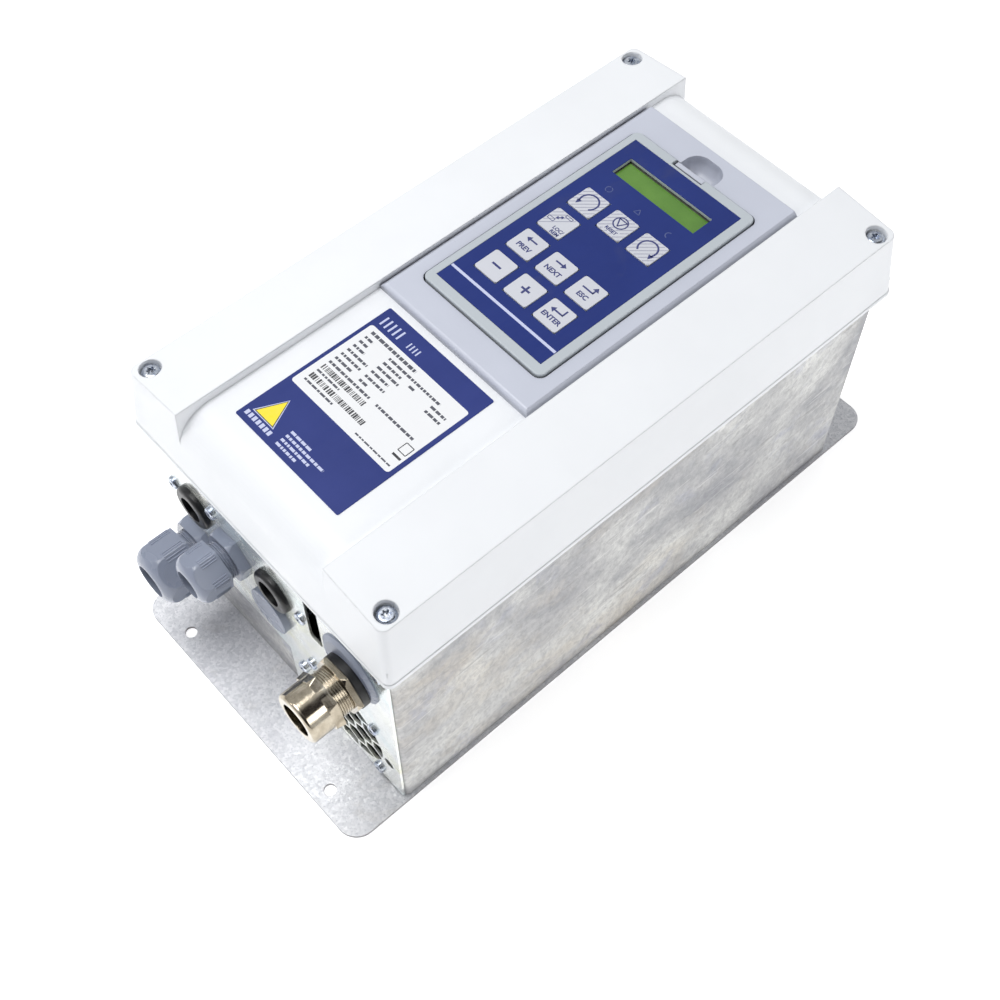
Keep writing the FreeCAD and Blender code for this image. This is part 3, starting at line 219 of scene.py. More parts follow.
def stained_steel():
    """Zinc coated box sheet with cloudy grey-blue stains, warm tints, smears and scratches."""
    look = Look("stained_steel", srgb(210, 210, 210), 0.4, 0.35)
    cloud = look.noise(13, 10, 0.7, 0.3, (1, 0.8, 1))
    color = look.ramp(cloud, (0.34, srgb(146, 147, 153)), (0.48, srgb(192, 192, 191)),
                      (0.62, srgb(228, 228, 224)))
    dull = look.noise(8, 6, 0.6, 0.2, (1, 0.7, 1.2))
    color = look.mix(look.grey(dull, 0.48, 0.72, 0, 0.5), color, srgb(152, 151, 156))
    warm = look.grey(look.noise(17, 7, 0.68, 0.3, (1, 0.7, 1.1)), 0.52, 0.7, 0, 0.42)
    color = look.mix(warm, color, srgb(206, 192, 168))
    cool = look.grey(look.noise(25, 8, 0.72, 0.4, (1, 0.8, 1)), 0.55, 0.68, 0, 0.5)
    color = look.mix(cool, color, srgb(148, 153, 178))
    veins = look.noise(60, 10, 0.82, 0.6, (1, 0.9, 1.1), (0.5, 0, 0))
    color = look.mix(look.grey(veins, 0.58, 0.63, 0, 0.4), color, srgb(122, 121, 128))
    pale = look.noise(31, 9, 0.74, 0.5, (1, 0.7, 1.2), (0.9, 0, 0))
    color = look.mix(look.grey(pale, 0.6, 0.68, 0, 0.5), color, srgb(240, 240, 238))
    mottle = look.noise(190, 9, 0.82, 0.4, (1, 1.3, 1))
    color = look.mix(look.grey(mottle, 0.46, 0.6, 0, 0.42), color, srgb(140, 139, 142))
    scratch = look.noise(70, 3, 0.6, 0.2, (6, 0.3, 6), (0.3, 0, 0))
    color = look.mix(look.grey(scratch, 0.62, 0.66, 0, 0.35), color, srgb(236, 235, 232))
    scrape = look.noise(52, 3, 0.6, 0.3, (7, 0.4, 7), (-0.5, 0, 0))
    look.color(look.mix(look.grey(scrape, 0.64, 0.67, 0, 0.4), color, srgb(132, 130, 130)))
    look.roughness(look.grey(mottle, 0.35, 0.65, 0.3, 0.52))
    look.bump((scratch, 0.05, 0.0003), (mottle, 0.12, 0.0002), (dull, 0.1, 0.0012), edge=0.0006)
    return look.material


def passivated():
    """Mirror-like zinc plating with a faint yellow-green bloom and finger marks."""
    look = Look("zinc_bright", srgb(240, 242, 236), 0.16, 0.72)
    bloom = look.ramp(look.noise(24, 4, 0.6, 0.8), (0.32, srgb(240, 242, 220)), (0.5, srgb(244, 246, 243)),
                      (0.66, srgb(224, 236, 236)))
    dirt = look.grey(look.noise(60, 5, 0.7), 0.58, 0.72, 0, 0.35)
    look.color(look.mix(dirt, bloom, srgb(196, 194, 184)))
    look.roughness(look.grey(look.noise(90, 4), 0.3, 0.7, 0.1, 0.3))
    look.bump((look.noise(420, 3), 0.02, 0.0002), edge=0.0004)
    return look.material


def plated_screw():
    """Bright zinc plated steel with a bluish tint."""
    look = Look("zinc_screw", srgb(196, 204, 216), 0.22, 1.0)
    tint = look.ramp(look.noise(300, 3, 0.6), (0.3, srgb(150, 160, 180)), (0.7, srgb(226, 230, 236)))
    look.color(tint)
    look.roughness(look.grey(look.noise(900, 3), 0.3, 0.7, 0.14, 0.38))
    look.bump((look.noise(1600, 2), 0.12, 0.0001), edge=0.00025)
    return look.material


def turned_metal(name, dark, middle, pale):
    """Plated or plain brass: fine turning marks and tarnish in patches."""
    look = Look(name, middle, 0.14, 1.0)
    look.color(look.ramp(look.noise(75, 4, 0.6, 0.4), (0.3, dark), (0.55, middle), (0.75, pale)))
    look.roughness(look.grey(look.noise(240, 4), 0.3, 0.7, 0.08, 0.2))
    turning = look.noise(300, 2, 0.5, 0, (0.3, 9, 0.3))
    look.bump((turning, 0.10, 0.0002), (look.noise(900, 2), 0.05, 0.0001), edge=0.0006)
    return look.material


def extruded():
    """Extruded aluminium with drawing lines along its length."""
    look = Look("sink_metal", srgb(176, 178, 180), 0.4, 0.9)
    lines = look.noise(260, 3, 0.5, 0, (4, 0.06, 4))
    look.color(look.ramp(lines, (0.3, srgb(150, 152, 155)), (0.7, srgb(196, 198, 200))))
    look.bump((lines, 0.15, 0.0003), edge=0.0003)
    return look.material


def rubber():
    """Glossy black rubber with a little dust."""
    look = Look("rubber", srgb(16, 16, 18), 0.34, Specular_IOR_Level=0.5)
    dust = look.grey(look.noise(60, 5, 0.7), 0.54, 0.76, 0, 0.35)
    look.color(look.mix(dust, srgb(13, 13, 16), srgb(56, 54, 60)))
    look.roughness(look.grey(look.noise(190, 3), 0.3, 0.7, 0.26, 0.5))
    look.bump((look.noise(1300, 3), 0.1, 0.0002), edge=0.0005)
    return look.material


def printed_film(name, deep, pale, worn, roughness=0.36):
    """Screen printed polyester: satin sheen, small scuffs and faint finger marks."""
    look = Look(name, deep, roughness, Specular_IOR_Level=0.3)
    tone = look.ramp(look.noise(16, 4, 0.6), (0.35, deep), (0.7, pale))
    marks = look.grey(look.noise(42, 4, 0.6, 0.5, (1, 0.8, 1)), 0.6, 0.76, 0, 0.3)
    look.color(look.mix(marks, tone, worn))
    scuffs = look.noise(90, 4, 0.6, 0, (5, 0.6, 1), (0, 0, 0.7))
    look.roughness(look.grey(scuffs, 0.35, 0.7, roughness - 0.05, roughness + 0.12))
    look.bump((look.noise(2400, 2), 0.07, 0.0001), edge=0.0001)
    return look.material


def ink(name, color, roughness=0.4):
    """Printing ink, slightly faded in places."""
    look = Look(name, color, roughness)
    faded = tuple(channel + (0.75 - channel) * 0.07 for channel in color[:3])
    look.color(look.ramp(look.noise(260, 4, 0.7), (0.3, color), (0.75, faded)))
    look.roughness(look.grey(look.noise(500, 2), 0.3, 0.7, roughness - 0.08, roughness + 0.1))
    look.bump((look.noise(1800, 2), 0.06, 0.00005))
    return look.material


def display():
    """Unlit reflective character display: olive layer with a faint dot grid."""
    look = Look("display_green", srgb(92, 136, 52), 0.25, Coat_Weight=0.3, Coat_Roughness=0.06)
    tone = look.ramp(look.noise(45, 3, 0.5), (0.3, srgb(84, 130, 44)), (0.7, srgb(100, 146, 56)))
    dots = look.cells(900, "DISTANCE_TO_EDGE", "Distance", (1, 1, 0.001))
    look.color(look.mix(look.grey(dots, 0.0, 0.12, 0.10, 0.0), tone, srgb(66, 104, 36)))
    look.roughness(look.grey(look.noise(200, 2), 0.3, 0.7, 0.14, 0.26))
    return look.material


def circuit_board():
    """Green solder mask over a grid of tracks."""
    look = Look("circuit_board", srgb(24, 92, 52), 0.35, Coat_Weight=0.4, Coat_Roughness=0.2)
    tracks = look.node("ShaderNodeTexBrick")
    tracks.inputs["Scale"].default_value = 95
    tracks.inputs["Mortar Size"].default_value = 0.012
    tracks.inputs["Color1"].default_value = srgb(24, 92, 52)
    tracks.inputs["Color2"].default_value = srgb(20, 80, 46)
    tracks.inputs["Mortar"].default_value = srgb(70, 140, 84)
    look.link(look.place, tracks.inputs["Vector"])
    look.color(tracks.outputs["Color"])
    look.roughness(look.grey(look.noise(150, 3), 0.3, 0.7, 0.28, 0.45))
    look.bump((tracks.outputs["Fac"], 0.15, 0.0001))
    return look.material


def winding_wire():
    """Varnished copper wire in close turns."""
    look = Look("winding_wire", srgb(176, 104, 52), 0.28, 0.6, Coat_Weight=0.5)
    turns = look.noise(900, 1, 0.4, 0, (0.05, 0.05, 1.2))
    look.color(look.ramp(turns, (0.35, srgb(120, 62, 26)), (0.65, srgb(204, 130, 70))))
    look.roughness(look.grey(look.noise(400, 2), 0.3, 0.7, 0.2, 0.4))
    look.bump((turns, 0.5, 0.0006))
    return look.material


def laminated_iron():
    """A stack of thin iron sheets."""
    look = Look("laminated_iron", srgb(92, 88, 84), 0.5, 0.6)
    sheets = look.noise(1100, 1, 0.4, 0, (0.02, 0.02, 1))
    look.color(look.ramp(sheets, (0.3, srgb(60, 57, 54)), (0.7, srgb(120, 116, 110))))
    look.roughness(look.grey(look.noise(90, 3), 0.3, 0.7, 0.4, 0.65))
    look.bump((sheets, 0.4, 0.0004))
    return look.material


MATERIALS = {
    "plate_zinc": galvanised_plate(),
    "box_steel": stained_steel(),
    "plate_passivated": passivated(),
    "screw_steel": plated_screw(),
    "sink_aluminium": extruded(),
    "black_plastic": moulded("black_moulding", srgb(22, 22, 25), 0.45),
    "module_plastic": moulded("module_moulding", srgb(60, 60, 64), 0.5),
    "board_green": circuit_board(),
    "can_sleeve": moulded("can_sleeve", srgb(38, 44, 70), 0.3, 0.03),
    "core_iron": laminated_iron(),
    "winding_copper": winding_wire(),
    "terminal_green": moulded("terminal_moulding", srgb(60, 140, 84), 0.45),
    "brass_bright": turned_metal("plain_brass", srgb(176, 140, 80), srgb(214, 180, 110), srgb(232, 206, 150)),
    "gland_grey": moulded("gland_polyamide", srgb(140, 147, 165), 0.22, 0.05, 0.04, 1100),
    "reducer_grey": moulded("reducer_polyamide", srgb(134, 141, 158), 0.26, 0.06, 0.04, 1100),
    "nickel_brass": turned_metal("nickel_brass", srgb(131, 121, 105), srgb(181, 171, 153),
                                 srgb(212, 205, 190)),
    "rubber_black": rubber(),
    "cover_white": moulded("cover_moulding", srgb(238, 240, 243), 0.42, 0.16, 0.012, 1250, 0.0012),
    # The bezel gets painted shade in its finger scoop and other recesses.
    "bezel_grey": moulded("bezel_moulding", srgb(197, 201, 214), 0.34, 0.12, 0.02, hollow_shade_reach=0.009),
    "panel_grey": moulded("panel_moulding", srgb(186, 193, 199), 0.4, 0.12, 0.02),
    "overlay_blue": printed_film("overlay_film", srgb(24, 43, 112), srgb(30, 50, 122), srgb(62, 68, 102)),
    "label_blue": printed_film("label_film", srgb(36, 51, 118), srgb(44, 58, 128), srgb(66, 74, 118), 0.42),
    "lcd_green": display(),
    "key_grey": moulded("key_print", srgb(206, 208, 216), 0.4, 0.06, 0.015, 2000, 0.0003),
}
INK = {
    "navy": ink("ink_navy", srgb(36, 46, 112)),
    "white": ink("ink_white", srgb(236, 237, 239)),
    "yellow": ink("ink_yellow", srgb(246, 226, 34)),
    "black": ink("ink_black", srgb(44, 44, 50)),
    "grey": ink("ink_grey", srgb(74, 76, 88)),
    "hatch": ink("ink_hatch", srgb(160, 161, 178)),
    # Painted shadow colour for the display's top and left edges.
    "olive": ink("painted_shadow_olive", srgb(44, 52, 34)),
    "lilac": ink("ink_lilac", srgb(196, 202, 232)),
    "dim": ink("ink_dim", srgb(66, 80, 134)),
}


def dress_nodes():
    """Give every CAD node the material of its slot."""
    slots = {part["node"]: part["material_slot"] for part in frame["record"]["subparts"]}
    for name, item in frame["nodes"].items():
        item.data.materials.clear()
        item.data.materials.append(MATERIALS[slots[name]])
        for face in item.data.polygons:
            face.use_smooth = False


# ---------------------------------------------------------------- mesh helpers
def add_mesh(name, mesh, body, material):
    """Show a mesh as a flat shaded piece that rides on a body."""
    item = bpy.data.objects.new(name, mesh)
    bpy.context.collection.objects.link(item)
    mesh.materials.append(material)
    for face in mesh.polygons:
        face.use_smooth = False
    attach(item, body)
    return item


def printed(name, shapes, height, thick, body, material):
    """Thin raised print from flat outlines given in millimetres on a plane facing +Z."""
    build = bmesh.new()
    for shape in shapes:
        ring = [build.verts.new((x * MM, y * MM, height)) for x, y in shape]
        lid = [build.verts.new((x * MM, y * MM, height + thick)) for x, y in shape]
        build.faces.new(lid)
        build.faces.new(ring[::-1])
        for i in range(len(shape)):
            j = (i + 1) % len(shape)
            build.faces.new((ring[i], ring[j], lid[j], lid[i]))
    bmesh.ops.recalc_face_normals(build, faces=build.faces)
    mesh = bpy.data.meshes.new(name)
    build.to_mesh(mesh)
    build.free()
    return add_mesh(name, mesh, body, material)


def bar(left, low, right, high):
    """An upright rectangle."""
    return [(left, low), (right, low), (right, high), (left, high)]


def stroke(points, width):
    """Quads along a line of points, overlapping a little at the corners."""
    quads = []
    for (ax, ay), (bx, by) in zip(points, points[1:]):
        length = math.hypot(bx - ax, by - ay)
        ux, uy = (bx - ax) / length, (by - ay) / length
        nx, ny = -uy * width / 2, ux * width / 2
        quads.append([(ax - nx, ay - ny), (bx - nx, by - ny), (bx + nx, by + ny), (ax + nx, ay + ny)])
    return quads


def arc(x, y, radius, start, stop, steps=18):
    """Points along an arc between two angles in degrees."""
    return [(x + radius * math.cos(math.radians(start + (stop - start) * i / steps)),
             y + radius * math.sin(math.radians(start + (stop - start) * i / steps)))
            for i in range(steps + 1)]


def band(x, y, radius, width, start, stop, steps=18):
    """A curved stripe as one outline."""
    outer = arc(x, y, radius + width / 2, start, stop, steps)
    inner = arc(x, y, radius - width / 2, stop, start, steps)
    return outer + inner


def round_box(left, low, right, high, radius, steps=5):
    """A rectangle with round corners."""
    points = []
    for x, y, angle in ((right - radius, low + radius, -90), (right - radius, high - radius, 0),
                        (left + radius, high - radius, 90), (left + radius, low + radius, 180)):
        points += arc(x, y, radius, angle, angle + 90, steps)
    return points


def moved(shapes, x, y):
    """Outlines shifted by x and y."""
    return [[(px + x, py + y) for px, py in shape] for shape in shapes]


def middle(node):
    """Centre of a node's box in millimetres."""
    low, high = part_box(node)
    return (low + high) / 2 / MM


# ---------------------------------------------------------------- key legends
def arrow(tip, tail, width=0.9, head=2.6):
    """A straight arrow."""
    length = math.hypot(tip[0] - tail[0], tip[1] - tail[1])
    ux, uy = (tip[0] - tail[0]) / length, (tip[1] - tail[1]) / length
    neck = (tip[0] - ux * head * 0.8, tip[1] - uy * head * 0.8)
    side = (-uy * head * 0.6, ux * head * 0.6)
    wedge = [tip, (neck[0] + side[0], neck[1] + side[1]), (neck[0] - side[0], neck[1] - side[1])]
    return stroke([tail, neck], width) + [wedge]


def hatch(half_width, half_length, clear, spacing=2.45, width=0.55, slope=1.1):
    """Diagonal lines spacing / slope apart over a key's face, broken where clear(x, y) is true."""
    lines = []
    steps = 60
    shortest = 0.5
    rise = spacing * math.hypot(1, slope) / slope
    offset = -half_length - slope * half_width + spacing / 2
    while offset < half_length + slope * half_width:
        run = None
        for i in range(steps + 2):
            x = -half_width + 2 * half_width * i / steps
            y = slope * x + offset
            inner = i <= steps and abs(y) <= half_length and not clear(x, y)
            if inner and run is None:
                run = x
            if not inner and run is not None:
                stop = x - 2 * half_width / steps
                if stop - run > shortest:
                    lines += stroke([(run, slope * run + offset), (stop, slope * stop + offset)], width)
                run = None
        offset += rise
    return lines


def turning_arrow(hand):
    """Three quarters of a circle with an arrowhead; hand is -1 for a left turn."""
    radius, rise, width, steps = 5.3, 0.3, 1.0, 30
    sweep = (-50, 212) if hand < 0 else (230, -32)
    end = math.radians(sweep[1])
    x, y = radius * math.cos(end), rise + radius * math.sin(end)
    return [band(0, rise, radius, width, *sweep, steps),
            [(x - 1.5, y + 0.5), (x + 1.7, y + 0.9), (x + 0.2 * hand, y - 2.5)]]


def stop_mark():
    """A ring round a downward triangle."""
    outline = [(-2.7, 4.4), (2.7, 4.4), (0, -0.5), (-2.7, 4.4)]
    return [band(0, 2.1, 3.9, 0.75, 0, 180), band(0, 2.1, 3.9, 0.75, 180, 360)] + stroke(outline, 0.7)


def outline_box(left, low, right, high, width):
    """A rectangle drawn as a line."""
    return stroke([(left, low), (right, low), (right, high), (left, high), (left, low)], width)


def legend_shapes():
    """Symbols of the ten keys: plain arrows and signs, in millimetres from each key's centre."""
    line, head = 0.95, 3.2
    remote = outline_box(-0.8, 5.6, 3.6, 7.1, 0.35) + outline_box(-7.2, -1.2, -3.2, 0.7, 0.35)
    remote += arrow((-0.6, 4.9), (-2.2, 3.2), 0.6, 2) + arrow((-3.8, 1.5), (-2.2, 3.2), 0.6, 2)
    return {
        "key_run_left": turning_arrow(-1),
        "key_run_right": turning_arrow(1),
        "key_stop": stop_mark(),
        "key_local_remote": remote,
        "key_previous": arrow((-3.8, 3.3), (3.5, 3.3), line, head),
        "key_next": arrow((3.5, 3.3), (-3.8, 3.3), line, head),
        "key_escape": arrow((2.6, 6.4), (2.6, 1.8), line, head) + stroke([(3.07, 1.8), (-4.4, 1.8)], line),
        "key_minus": [bar(-3.05, -0.4, 3.05, 0.85)],
        "key_plus": [bar(-2.9, -0.4, 2.9, 0.85), bar(-0.62, -2.7, 0.62, -0.4), bar(-0.62, 0.85, 0.62, 3.1)],
        "key_enter": arrow((-5.0, 2.3), (2.9, 2.3), line, head) + stroke([(2.9, 1.85), (2.9, 6.2)], line),
    }


# Each word with its centre from the key's centre and its letter size, in millimetres.
KEY_WORDS = {
    "key_stop": [("RESET", 0, -4.9, 2.9)],
    "key_local_remote": [("LOC/", 3.3, -3.5, 3.0), ("REM", 3.4, -6.4, 3.0)],
    "key_previous": [("PREV", 0, -2.9, 4.1)],
    "key_next": [("NEXT", 0, -2.9, 4.1)],
    "key_escape": [("ESC", 0, -2.9, 4.1)],
    "key_enter": [("ENTER", 0, -2.7, 4.1)],
}
HATCH_HALF_WIDTH = 7.7
HATCH_HALF_LENGTH = 7.6


def lettering(name, word, x, y, size, top, body, material):
    """A plain functional word as thin raised print."""
    curve = bpy.data.curves.new(name, "FONT")
    curve.body = word
    curve.size = size * MM
    curve.align_x = "CENTER"
    curve.align_y = "CENTER"
    curve.resolution_u = 3
    curve.extrude = INK_THICK
    curve.offset = size * 0.032 * MM
    holder = bpy.data.objects.new(name + "_text", curve)
    mesh = bpy.data.meshes.new_from_object(holder)
    bpy.data.objects.remove(holder)
    mesh.transform(Matrix.Translation((x * MM, y * MM, top + INK_THICK)))
    return add_mesh(name, mesh, body, material)


def key_legends():
    """Symbols, words and hatching on the ten keys; the hatching breaks round symbols and words."""
    clear = {
        "key_run_left": lambda x, y: False,
        "key_run_right": lambda x, y: False,
        "key_stop": lambda x, y: x * x + (y - 2.1) ** 2 < 10 or (abs(x) < 4.4 and -6.2 < y < -3.4),
        "key_local_remote": lambda x, y: y < 1.1 * x + 0.6,
    }
    for node, shapes in legend_shapes().items():
        centre = middle(node)
        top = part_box(node)[1].z
        legend = moved(shapes, centre.x, centre.y)
        printed(node + "_legend", legend, top, LEGEND_THICK, node, INK["navy"])
        if node in clear:
            lines = moved(hatch(HATCH_HALF_WIDTH, HATCH_HALF_LENGTH, clear[node]), centre.x, centre.y)
            printed(node + "_hatch", lines, top, INK_THICK, node, INK["hatch"])
        for number, (word, x, y, size) in enumerate(KEY_WORDS.get(node, [])):
            lettering(f"{node}_word_{number}", word, centre.x + x, centre.y + y, size, top, node,
                      INK["navy"])


# ---------------------------------------------------------------- panel print and rating label
def panel_print():
    """Pale rule across the panel's foot, a painted shadow along the display's top and left edges and three
    dim signs above the keys.
    """
    low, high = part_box("panel_overlay")
    left, right, foot, top = low.x / MM, high.x / MM, low.y / MM, high.z
    printed("panel_stripe", [bar(left + 0.3, foot + 9.0, right - 0.3, foot + 10.6)], top, SHEET_THICK,
            "control_panel", INK["lilac"])
    low, high = (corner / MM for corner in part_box("lcd_glass"))
    # Painted shadow: dark olive bars along the display's top and left edges stand for the shade cast by the
    # window's walls.
    rim = [bar(low.x, high.y - 1.0, high.x, high.y), bar(low.x, low.y, low.x + 0.8, high.y)]
    printed("display_painted_shadow", rim, high.z * MM, SHEET_THICK, "control_panel", INK["olive"])
    signs = []
    sign_rise = 14.7
    for node, shapes in (("key_run_left", [band(0, 0, 1.9, 0.5, 100, 260), band(0, 0, 1.9, 0.5, -80, 80)]),
                         ("key_stop", stroke([(-1.9, -1.5), (1.9, -1.5), (0, 1.8), (-1.9, -1.5)], 0.5)),
                         ("key_run_right", [band(0.6, 0, 1.9, 0.6, 90, 270)])):
        signs += moved(shapes, middle(node).x, middle(node).y + sign_rise)
    printed("panel_signs", signs, top, INK_THICK, "control_panel", INK["dim"])


def dashes(start, stop, y, height, shortest=1.2, longest=3.6, gap=0.55):
    """A row of short dashes that stands for a line of small print."""
    marks = []
    x = start
    while x < stop:
        step = min(random.uniform(shortest, longest), stop - x)
        marks.append(bar(x, y - height / 2, x + step, y + height / 2))
        x += step + gap
    return marks


def stripes(start, stop, y, height):
    """A block of upright stripes of uneven width."""
    marks = []
    x = start
    while x < stop:
        wide = random.choice((0.35, 0.5, 0.8, 1.1))
        marks.append(bar(x, y - height / 2, min(x + wide, stop), y + height / 2))
        x += wide + random.choice((0.3, 0.45, 0.8))
    return marks


def label_sides():
    """The label's left, right, foot and head in millimetres and its face's height in metres."""
    low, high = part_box("rating_label")
    return SimpleNamespace(left=low.x / MM, right=high.x / MM, foot=low.y / MM, head=high.y / MM, top=high.z)


def on_label(name, shapes, height, thick, color):
    """Print on the rating label."""
    printed(name, shapes, height, thick, "front_cover", INK[color])


# Each row's drop below the label's head, its height and its spans from the label's left, in millimetres.
LABEL_ROWS = (
    (16.6, 1.9, ((5.9, 39),)),
    (20.7, 1.5, ((5.9, 11.6), (24, 61.5))),
    (24.3, 1.5, ((5.9, 12), (24, 37), (43, 47), (59, 69.5))),
    (28, 1.5, ((5.9, 14), (24, 39.3), (59, 69.5))),
    (31.7, 1.5, ((5.9, 20.5), (24, 36.5))),
    (35.5, 1.5, ((5.9, 20), (24, 38))),
    (39.2, 1.5, ((5.9, 18), (24, 29.5))),
    (42.9, 1.5, ((5.9, 36), (41, 68))),
    (50.4, 1.2, ((5.9, 22.5),)),
    (58.1, 1.2, ((5.9, 27),)),
    (60.3, 0.9, ((47, 72),)),
)


def label_data():
    """White panel with rows of plain dashes, two blocks of stripes, an empty box and a bar."""
    label = label_sides()
    sheet = (label.left + 2.1, label.foot + 31.3, label.right - 2.6, label.head - 13.3)
    on_label("label_panel", [round_box(*sheet, 1.7)], label.top, SHEET_THICK, "white")
    rows = []
    for drop, height, spans in LABEL_ROWS:
        for start, stop in spans:
            rows += dashes(label.left + start, label.left + stop, label.head - drop, height)
    on_label("label_rows", rows, label.top + SHEET_THICK, INK_THICK, "grey")
    marks = stripes(label.left + 5.9, label.left + 37, label.head - 47, 3.2)
    marks += stripes(label.left + 5.9, label.left + 45.5, label.head - 54.3, 3.2)
    marks += outline_box(label.left + 67.4, label.head - 51.6, label.left + 72.6, label.head - 46, 0.5)
    marks.append(bar(label.left + 67.2, label.head - 55.2, label.left + 72.8, label.head - 53.9))
    on_label("label_stripes", marks, label.top + SHEET_THICK, INK_THICK, "black")


def label_heading():
    """Five tall bars and four short ones in place of a heading."""
    label = label_sides()
    heading = [bar(label.left + 4 + 3.1 * i, label.head - 10.6, label.left + 5.1 + 3.1 * i, label.head - 4.6)
               for i in range(5)]
    for i in range(4):
        start = 2.2 * i
        heading.append(bar(label.left + 24 + start, label.head - 10.4, label.left + 24.8 + start,
                           label.head - 6.6))
    on_label("label_heading", heading, label.top, SHEET_THICK, "lilac")


def label_triangle():
    """A plain yellow triangle with a dark rim and a pale edge."""
    label = label_sides()
    centre, base, apex = label.left + 12, label.foot + 8.1, label.foot + 22
    layers = (("label_triangle_edge", 7.9, 0.9, 1.5, label.top, SHEET_THICK, "lilac"),
              ("label_triangle_rim", 7.1, 0.45, 0.75, label.top + SHEET_THICK, INK_THICK, "black"),
              ("label_triangle", 6.3, 0, 0, label.top + SHEET_THICK + INK_THICK, INK_THICK, "yellow"))
    for name, half, below, above, height, thick, color in layers:
        outline = [(centre - half, base - below), (centre + half, base - below), (centre, apex + above)]
        on_label(name, [outline], height, thick, color)


def label_lines():
    """A row of bars under the triangle and four rows of dashes beside it."""
    label = label_sides()
    lines = [bar(label.left + 2.6 + 2.8 * i, label.foot + 3.2, label.left + 4.6 + 2.8 * i, label.foot + 6.0)
             for i in range(7)]
    for row, stop in enumerate((41, 54, 47, 41)):
        lines += dashes(label.left + 26.6, label.left + stop, label.foot + 12.9 - 3.0 * row, 1.5)
    on_label("label_lines", lines, label.top, INK_THICK, "lilac")


# ---------------------------------------------------------------- gland ribs
RIB_PLASTIC = moulded("gland_rib", srgb(150, 157, 176), 0.26, 0.03, 0.02, 1100, 0.00015)
RIB_FACES = ((0, 1, 5, 4), (2, 6, 7, 3), (4, 5, 7, 6), (0, 2, 3, 1), (0, 4, 6, 2), (1, 3, 7, 5))
# A rib's root and crest: metres past the nut's surface, width, and how far each end is trimmed.
RIB_SECTIONS = ((-0.0012, 0.001, 0), (0.00035, 0.0006, 0.0008))


def gland_ribs(node, flats, spin, count=5, step=5.2):
    """Fine grip ribs on a plastic dome nut, a group over each of its six corners."""
    low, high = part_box(node)
    centre = (low + high) / 2
    margin, covered = 0.0012, 0.6
    start, stop = high.y - margin, high.y - (high.y - low.y) * covered
    build = bmesh.new()
    for corner in range(6):
        for rib in range(count):
            away = (rib - (count - 1) / 2) * step
            angle = math.radians(spin + 60 * corner + away)
            radius = min(flats / 2 / math.cos(math.radians(30 - abs(away))), flats * 0.565) * MM
            out = Vector((math.cos(angle), 0, math.sin(angle)))
            along = Vector((-math.sin(angle), 0, math.cos(angle)))
            ring = []
            for proud, wide, trim in RIB_SECTIONS:
                for sign in (-1, 1):
                    for y in (start - trim, stop + trim):
                        point = Vector((centre.x, y, centre.z)) + out * (radius + proud)
                        ring.append(point + along * (sign * wide / 2))
            verts = [build.verts.new(point) for point in ring]
            for quad in RIB_FACES:
                build.faces.new([verts[i] for i in quad])
    bmesh.ops.recalc_face_normals(build, faces=build.faces)
    mesh = bpy.data.meshes.new(node + "_ribs")
    build.to_mesh(mesh)
    build.free()
    add_mesh(node + "_ribs", mesh, node, RIB_PLASTIC)


# ---------------------------------------------------------------- stage
def floor():
    """White paper just under the object, glowing a little so that it stays white."""
    mesh = bpy.data.meshes.new("studio_floor")
    reach, level = 6, -0.0004
    corners = [(x, y, level) for x, y in bar(-reach, -reach, reach, reach)]
    mesh.from_pydata(corners, [], [(0, 1, 2, 3)])
    item = bpy.data.objects.new("studio_floor", mesh)
    bpy.context.collection.objects.link(item)
    look = Look("studio_paper", (0.93, 0.93, 0.93, 1), 0.9)
    look.color(look.ramp(look.noise(3, 2), (0.3, (0.925, 0.925, 0.925)), (0.7, (0.94, 0.94, 0.94))))
    look.shader.inputs["Emission Color"].default_value = (1, 1, 1, 1)
    look.shader.inputs["Emission Strength"].default_value = 0.6
    mesh.materials.append(look.material)


def area_light(name, place, target, size, power):
    """A round soft box at place that faces target."""
    light = bpy.data.lights.new(name, "AREA")
    light.shape = "DISK"
    light.size = size
    light.energy = power
    item = bpy.data.objects.new(name, light)
    item.location = place
    item.rotation_mode = "QUATERNION"
    item.rotation_quaternion = (Vector(target) - Vector(place)).to_track_quat("-Z", "Y")
    bpy.context.collection.objects.link(item)


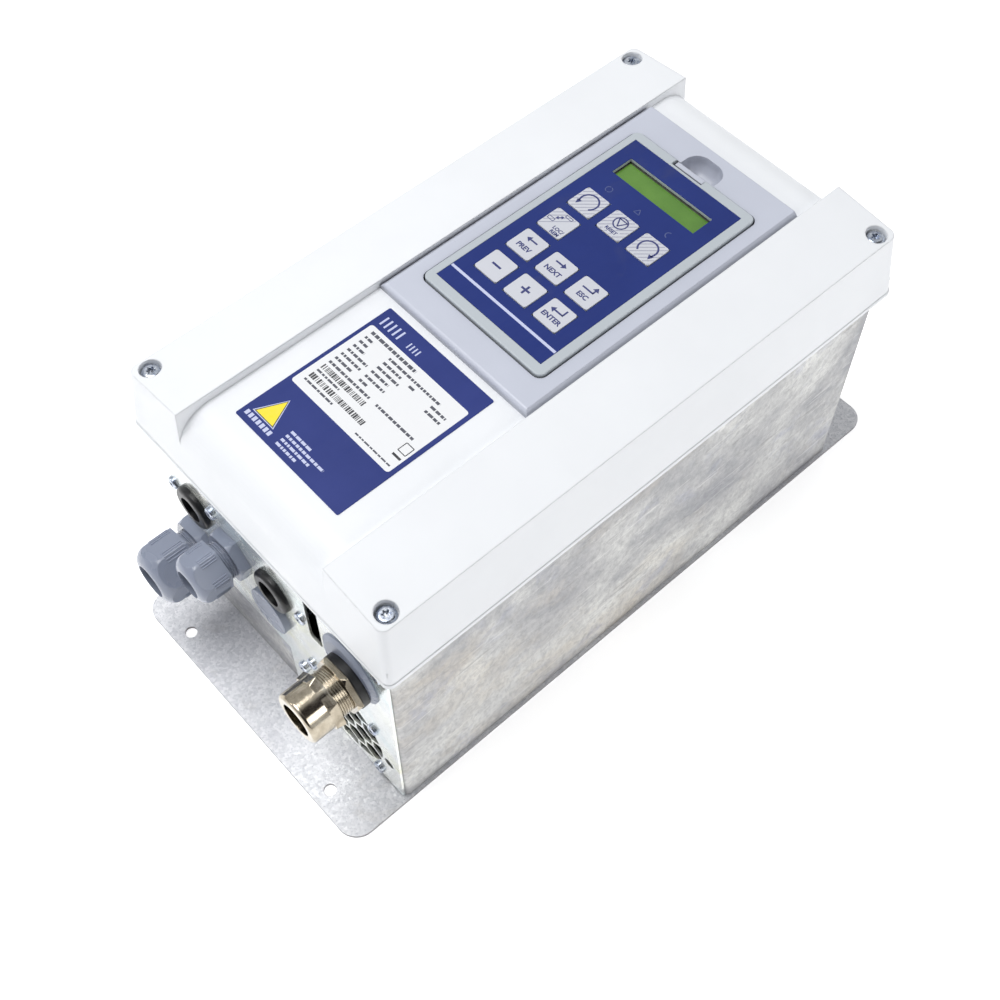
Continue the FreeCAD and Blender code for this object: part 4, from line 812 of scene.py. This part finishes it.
def studio():
    """Bright tent with a dark opening on the camera's side and one overhead, and three soft boxes."""
    world = bpy.data.worlds.new("studio")
    world.use_nodes = True
    tree = world.node_tree
    background = tree.nodes["Background"]
    background.inputs["Strength"].default_value = 0.66
    ways = tree.nodes.new("ShaderNodeTexCoord").outputs["Generated"]
    near = dark_patch(tree, ways, (0.6, -0.56, 0.57), 0.74, 0.9)
    above = dark_patch(tree, ways, (0.42, 0.38, 0.82), 0.86, 0.94)
    both = tree.nodes.new("ShaderNodeMath")
    both.operation = "MAXIMUM"
    tree.links.new(near, both.inputs[0])
    tree.links.new(above, both.inputs[1])
    shade = tree.nodes.new("ShaderNodeValToRGB")
    shade.color_ramp.elements[0].color = (0.97, 0.985, 1, 1)
    shade.color_ramp.elements[1].color = (0.06, 0.055, 0.06, 1)
    tree.links.new(both.outputs["Value"], shade.inputs["Fac"])
    tree.links.new(shade.outputs["Color"], background.inputs["Color"])
    scene = bpy.context.scene
    scene.world = world
    scene.view_settings.view_transform = "Standard"
    area_light("key", (-0.34, -0.36, 1.5), (0, 0, 0.1), 0.8, 12)
    area_light("side", (1.35, 0.15, 0.95), (0, 0, 0.05), 0.7, 4.4)
    area_light("front", (-0.9, -1.15, 0.95), (0, -0.15, 0.1), 0.12, 1.3)


def dark_patch(tree, ways, direction, start, full):
    """1 where the sky lies near direction, falling softly to 0; start and full are cosines."""
    toward = tree.nodes.new("ShaderNodeVectorMath")
    toward.operation = "DOT_PRODUCT"
    toward.inputs[1].default_value = direction
    tree.links.new(ways, toward.inputs[0])
    made = tree.nodes.new("ShaderNodeMapRange")
    made.interpolation_type = "SMOOTHSTEP"
    made.inputs["From Min"].default_value = start
    made.inputs["From Max"].default_value = full
    tree.links.new(toward.outputs["Value"], made.inputs["Value"])
    return made.outputs["Result"]


CAMERA_PLACE = (0.3362, -0.3215, 0.7469)
CAMERA_RIGHT = (0.6698, 0.7425, 0.002)
CAMERA_AZIMUTH = 47.77
CAMERA_ELEVATION = 57.73
FOCAL_LENGTH = 51.98


def camera():
    """Camera above the connection end, with its horizon along CAMERA_RIGHT."""
    lens = bpy.data.cameras.new("camera")
    lens.lens = FOCAL_LENGTH
    lens.sensor_width = 36
    lens.clip_start = 0.05
    lens.clip_end = 20
    item = bpy.data.objects.new("camera", lens)
    azimuth, elevation = math.radians(CAMERA_AZIMUTH), math.radians(CAMERA_ELEVATION)
    back = Vector((math.sin(azimuth) * math.cos(elevation), -math.cos(azimuth) * math.cos(elevation),
                   math.sin(elevation)))
    right = Vector(CAMERA_RIGHT)
    right = (right - back * right.dot(back)).normalized()
    up = back.cross(right)
    turn = Matrix((right, up, back)).transposed()
    item.matrix_world = Matrix.Translation(CAMERA_PLACE) @ turn.to_4x4()
    bpy.context.collection.objects.link(item)
    bpy.context.scene.camera = item


dress_nodes()
key_legends()
panel_print()
label_data()
label_heading()
label_triangle()
label_lines()
gland_ribs("gland_large_nut", 32, 20)
gland_ribs("gland_small_nut", 25.6, 20)
floor()
studio()
camera()
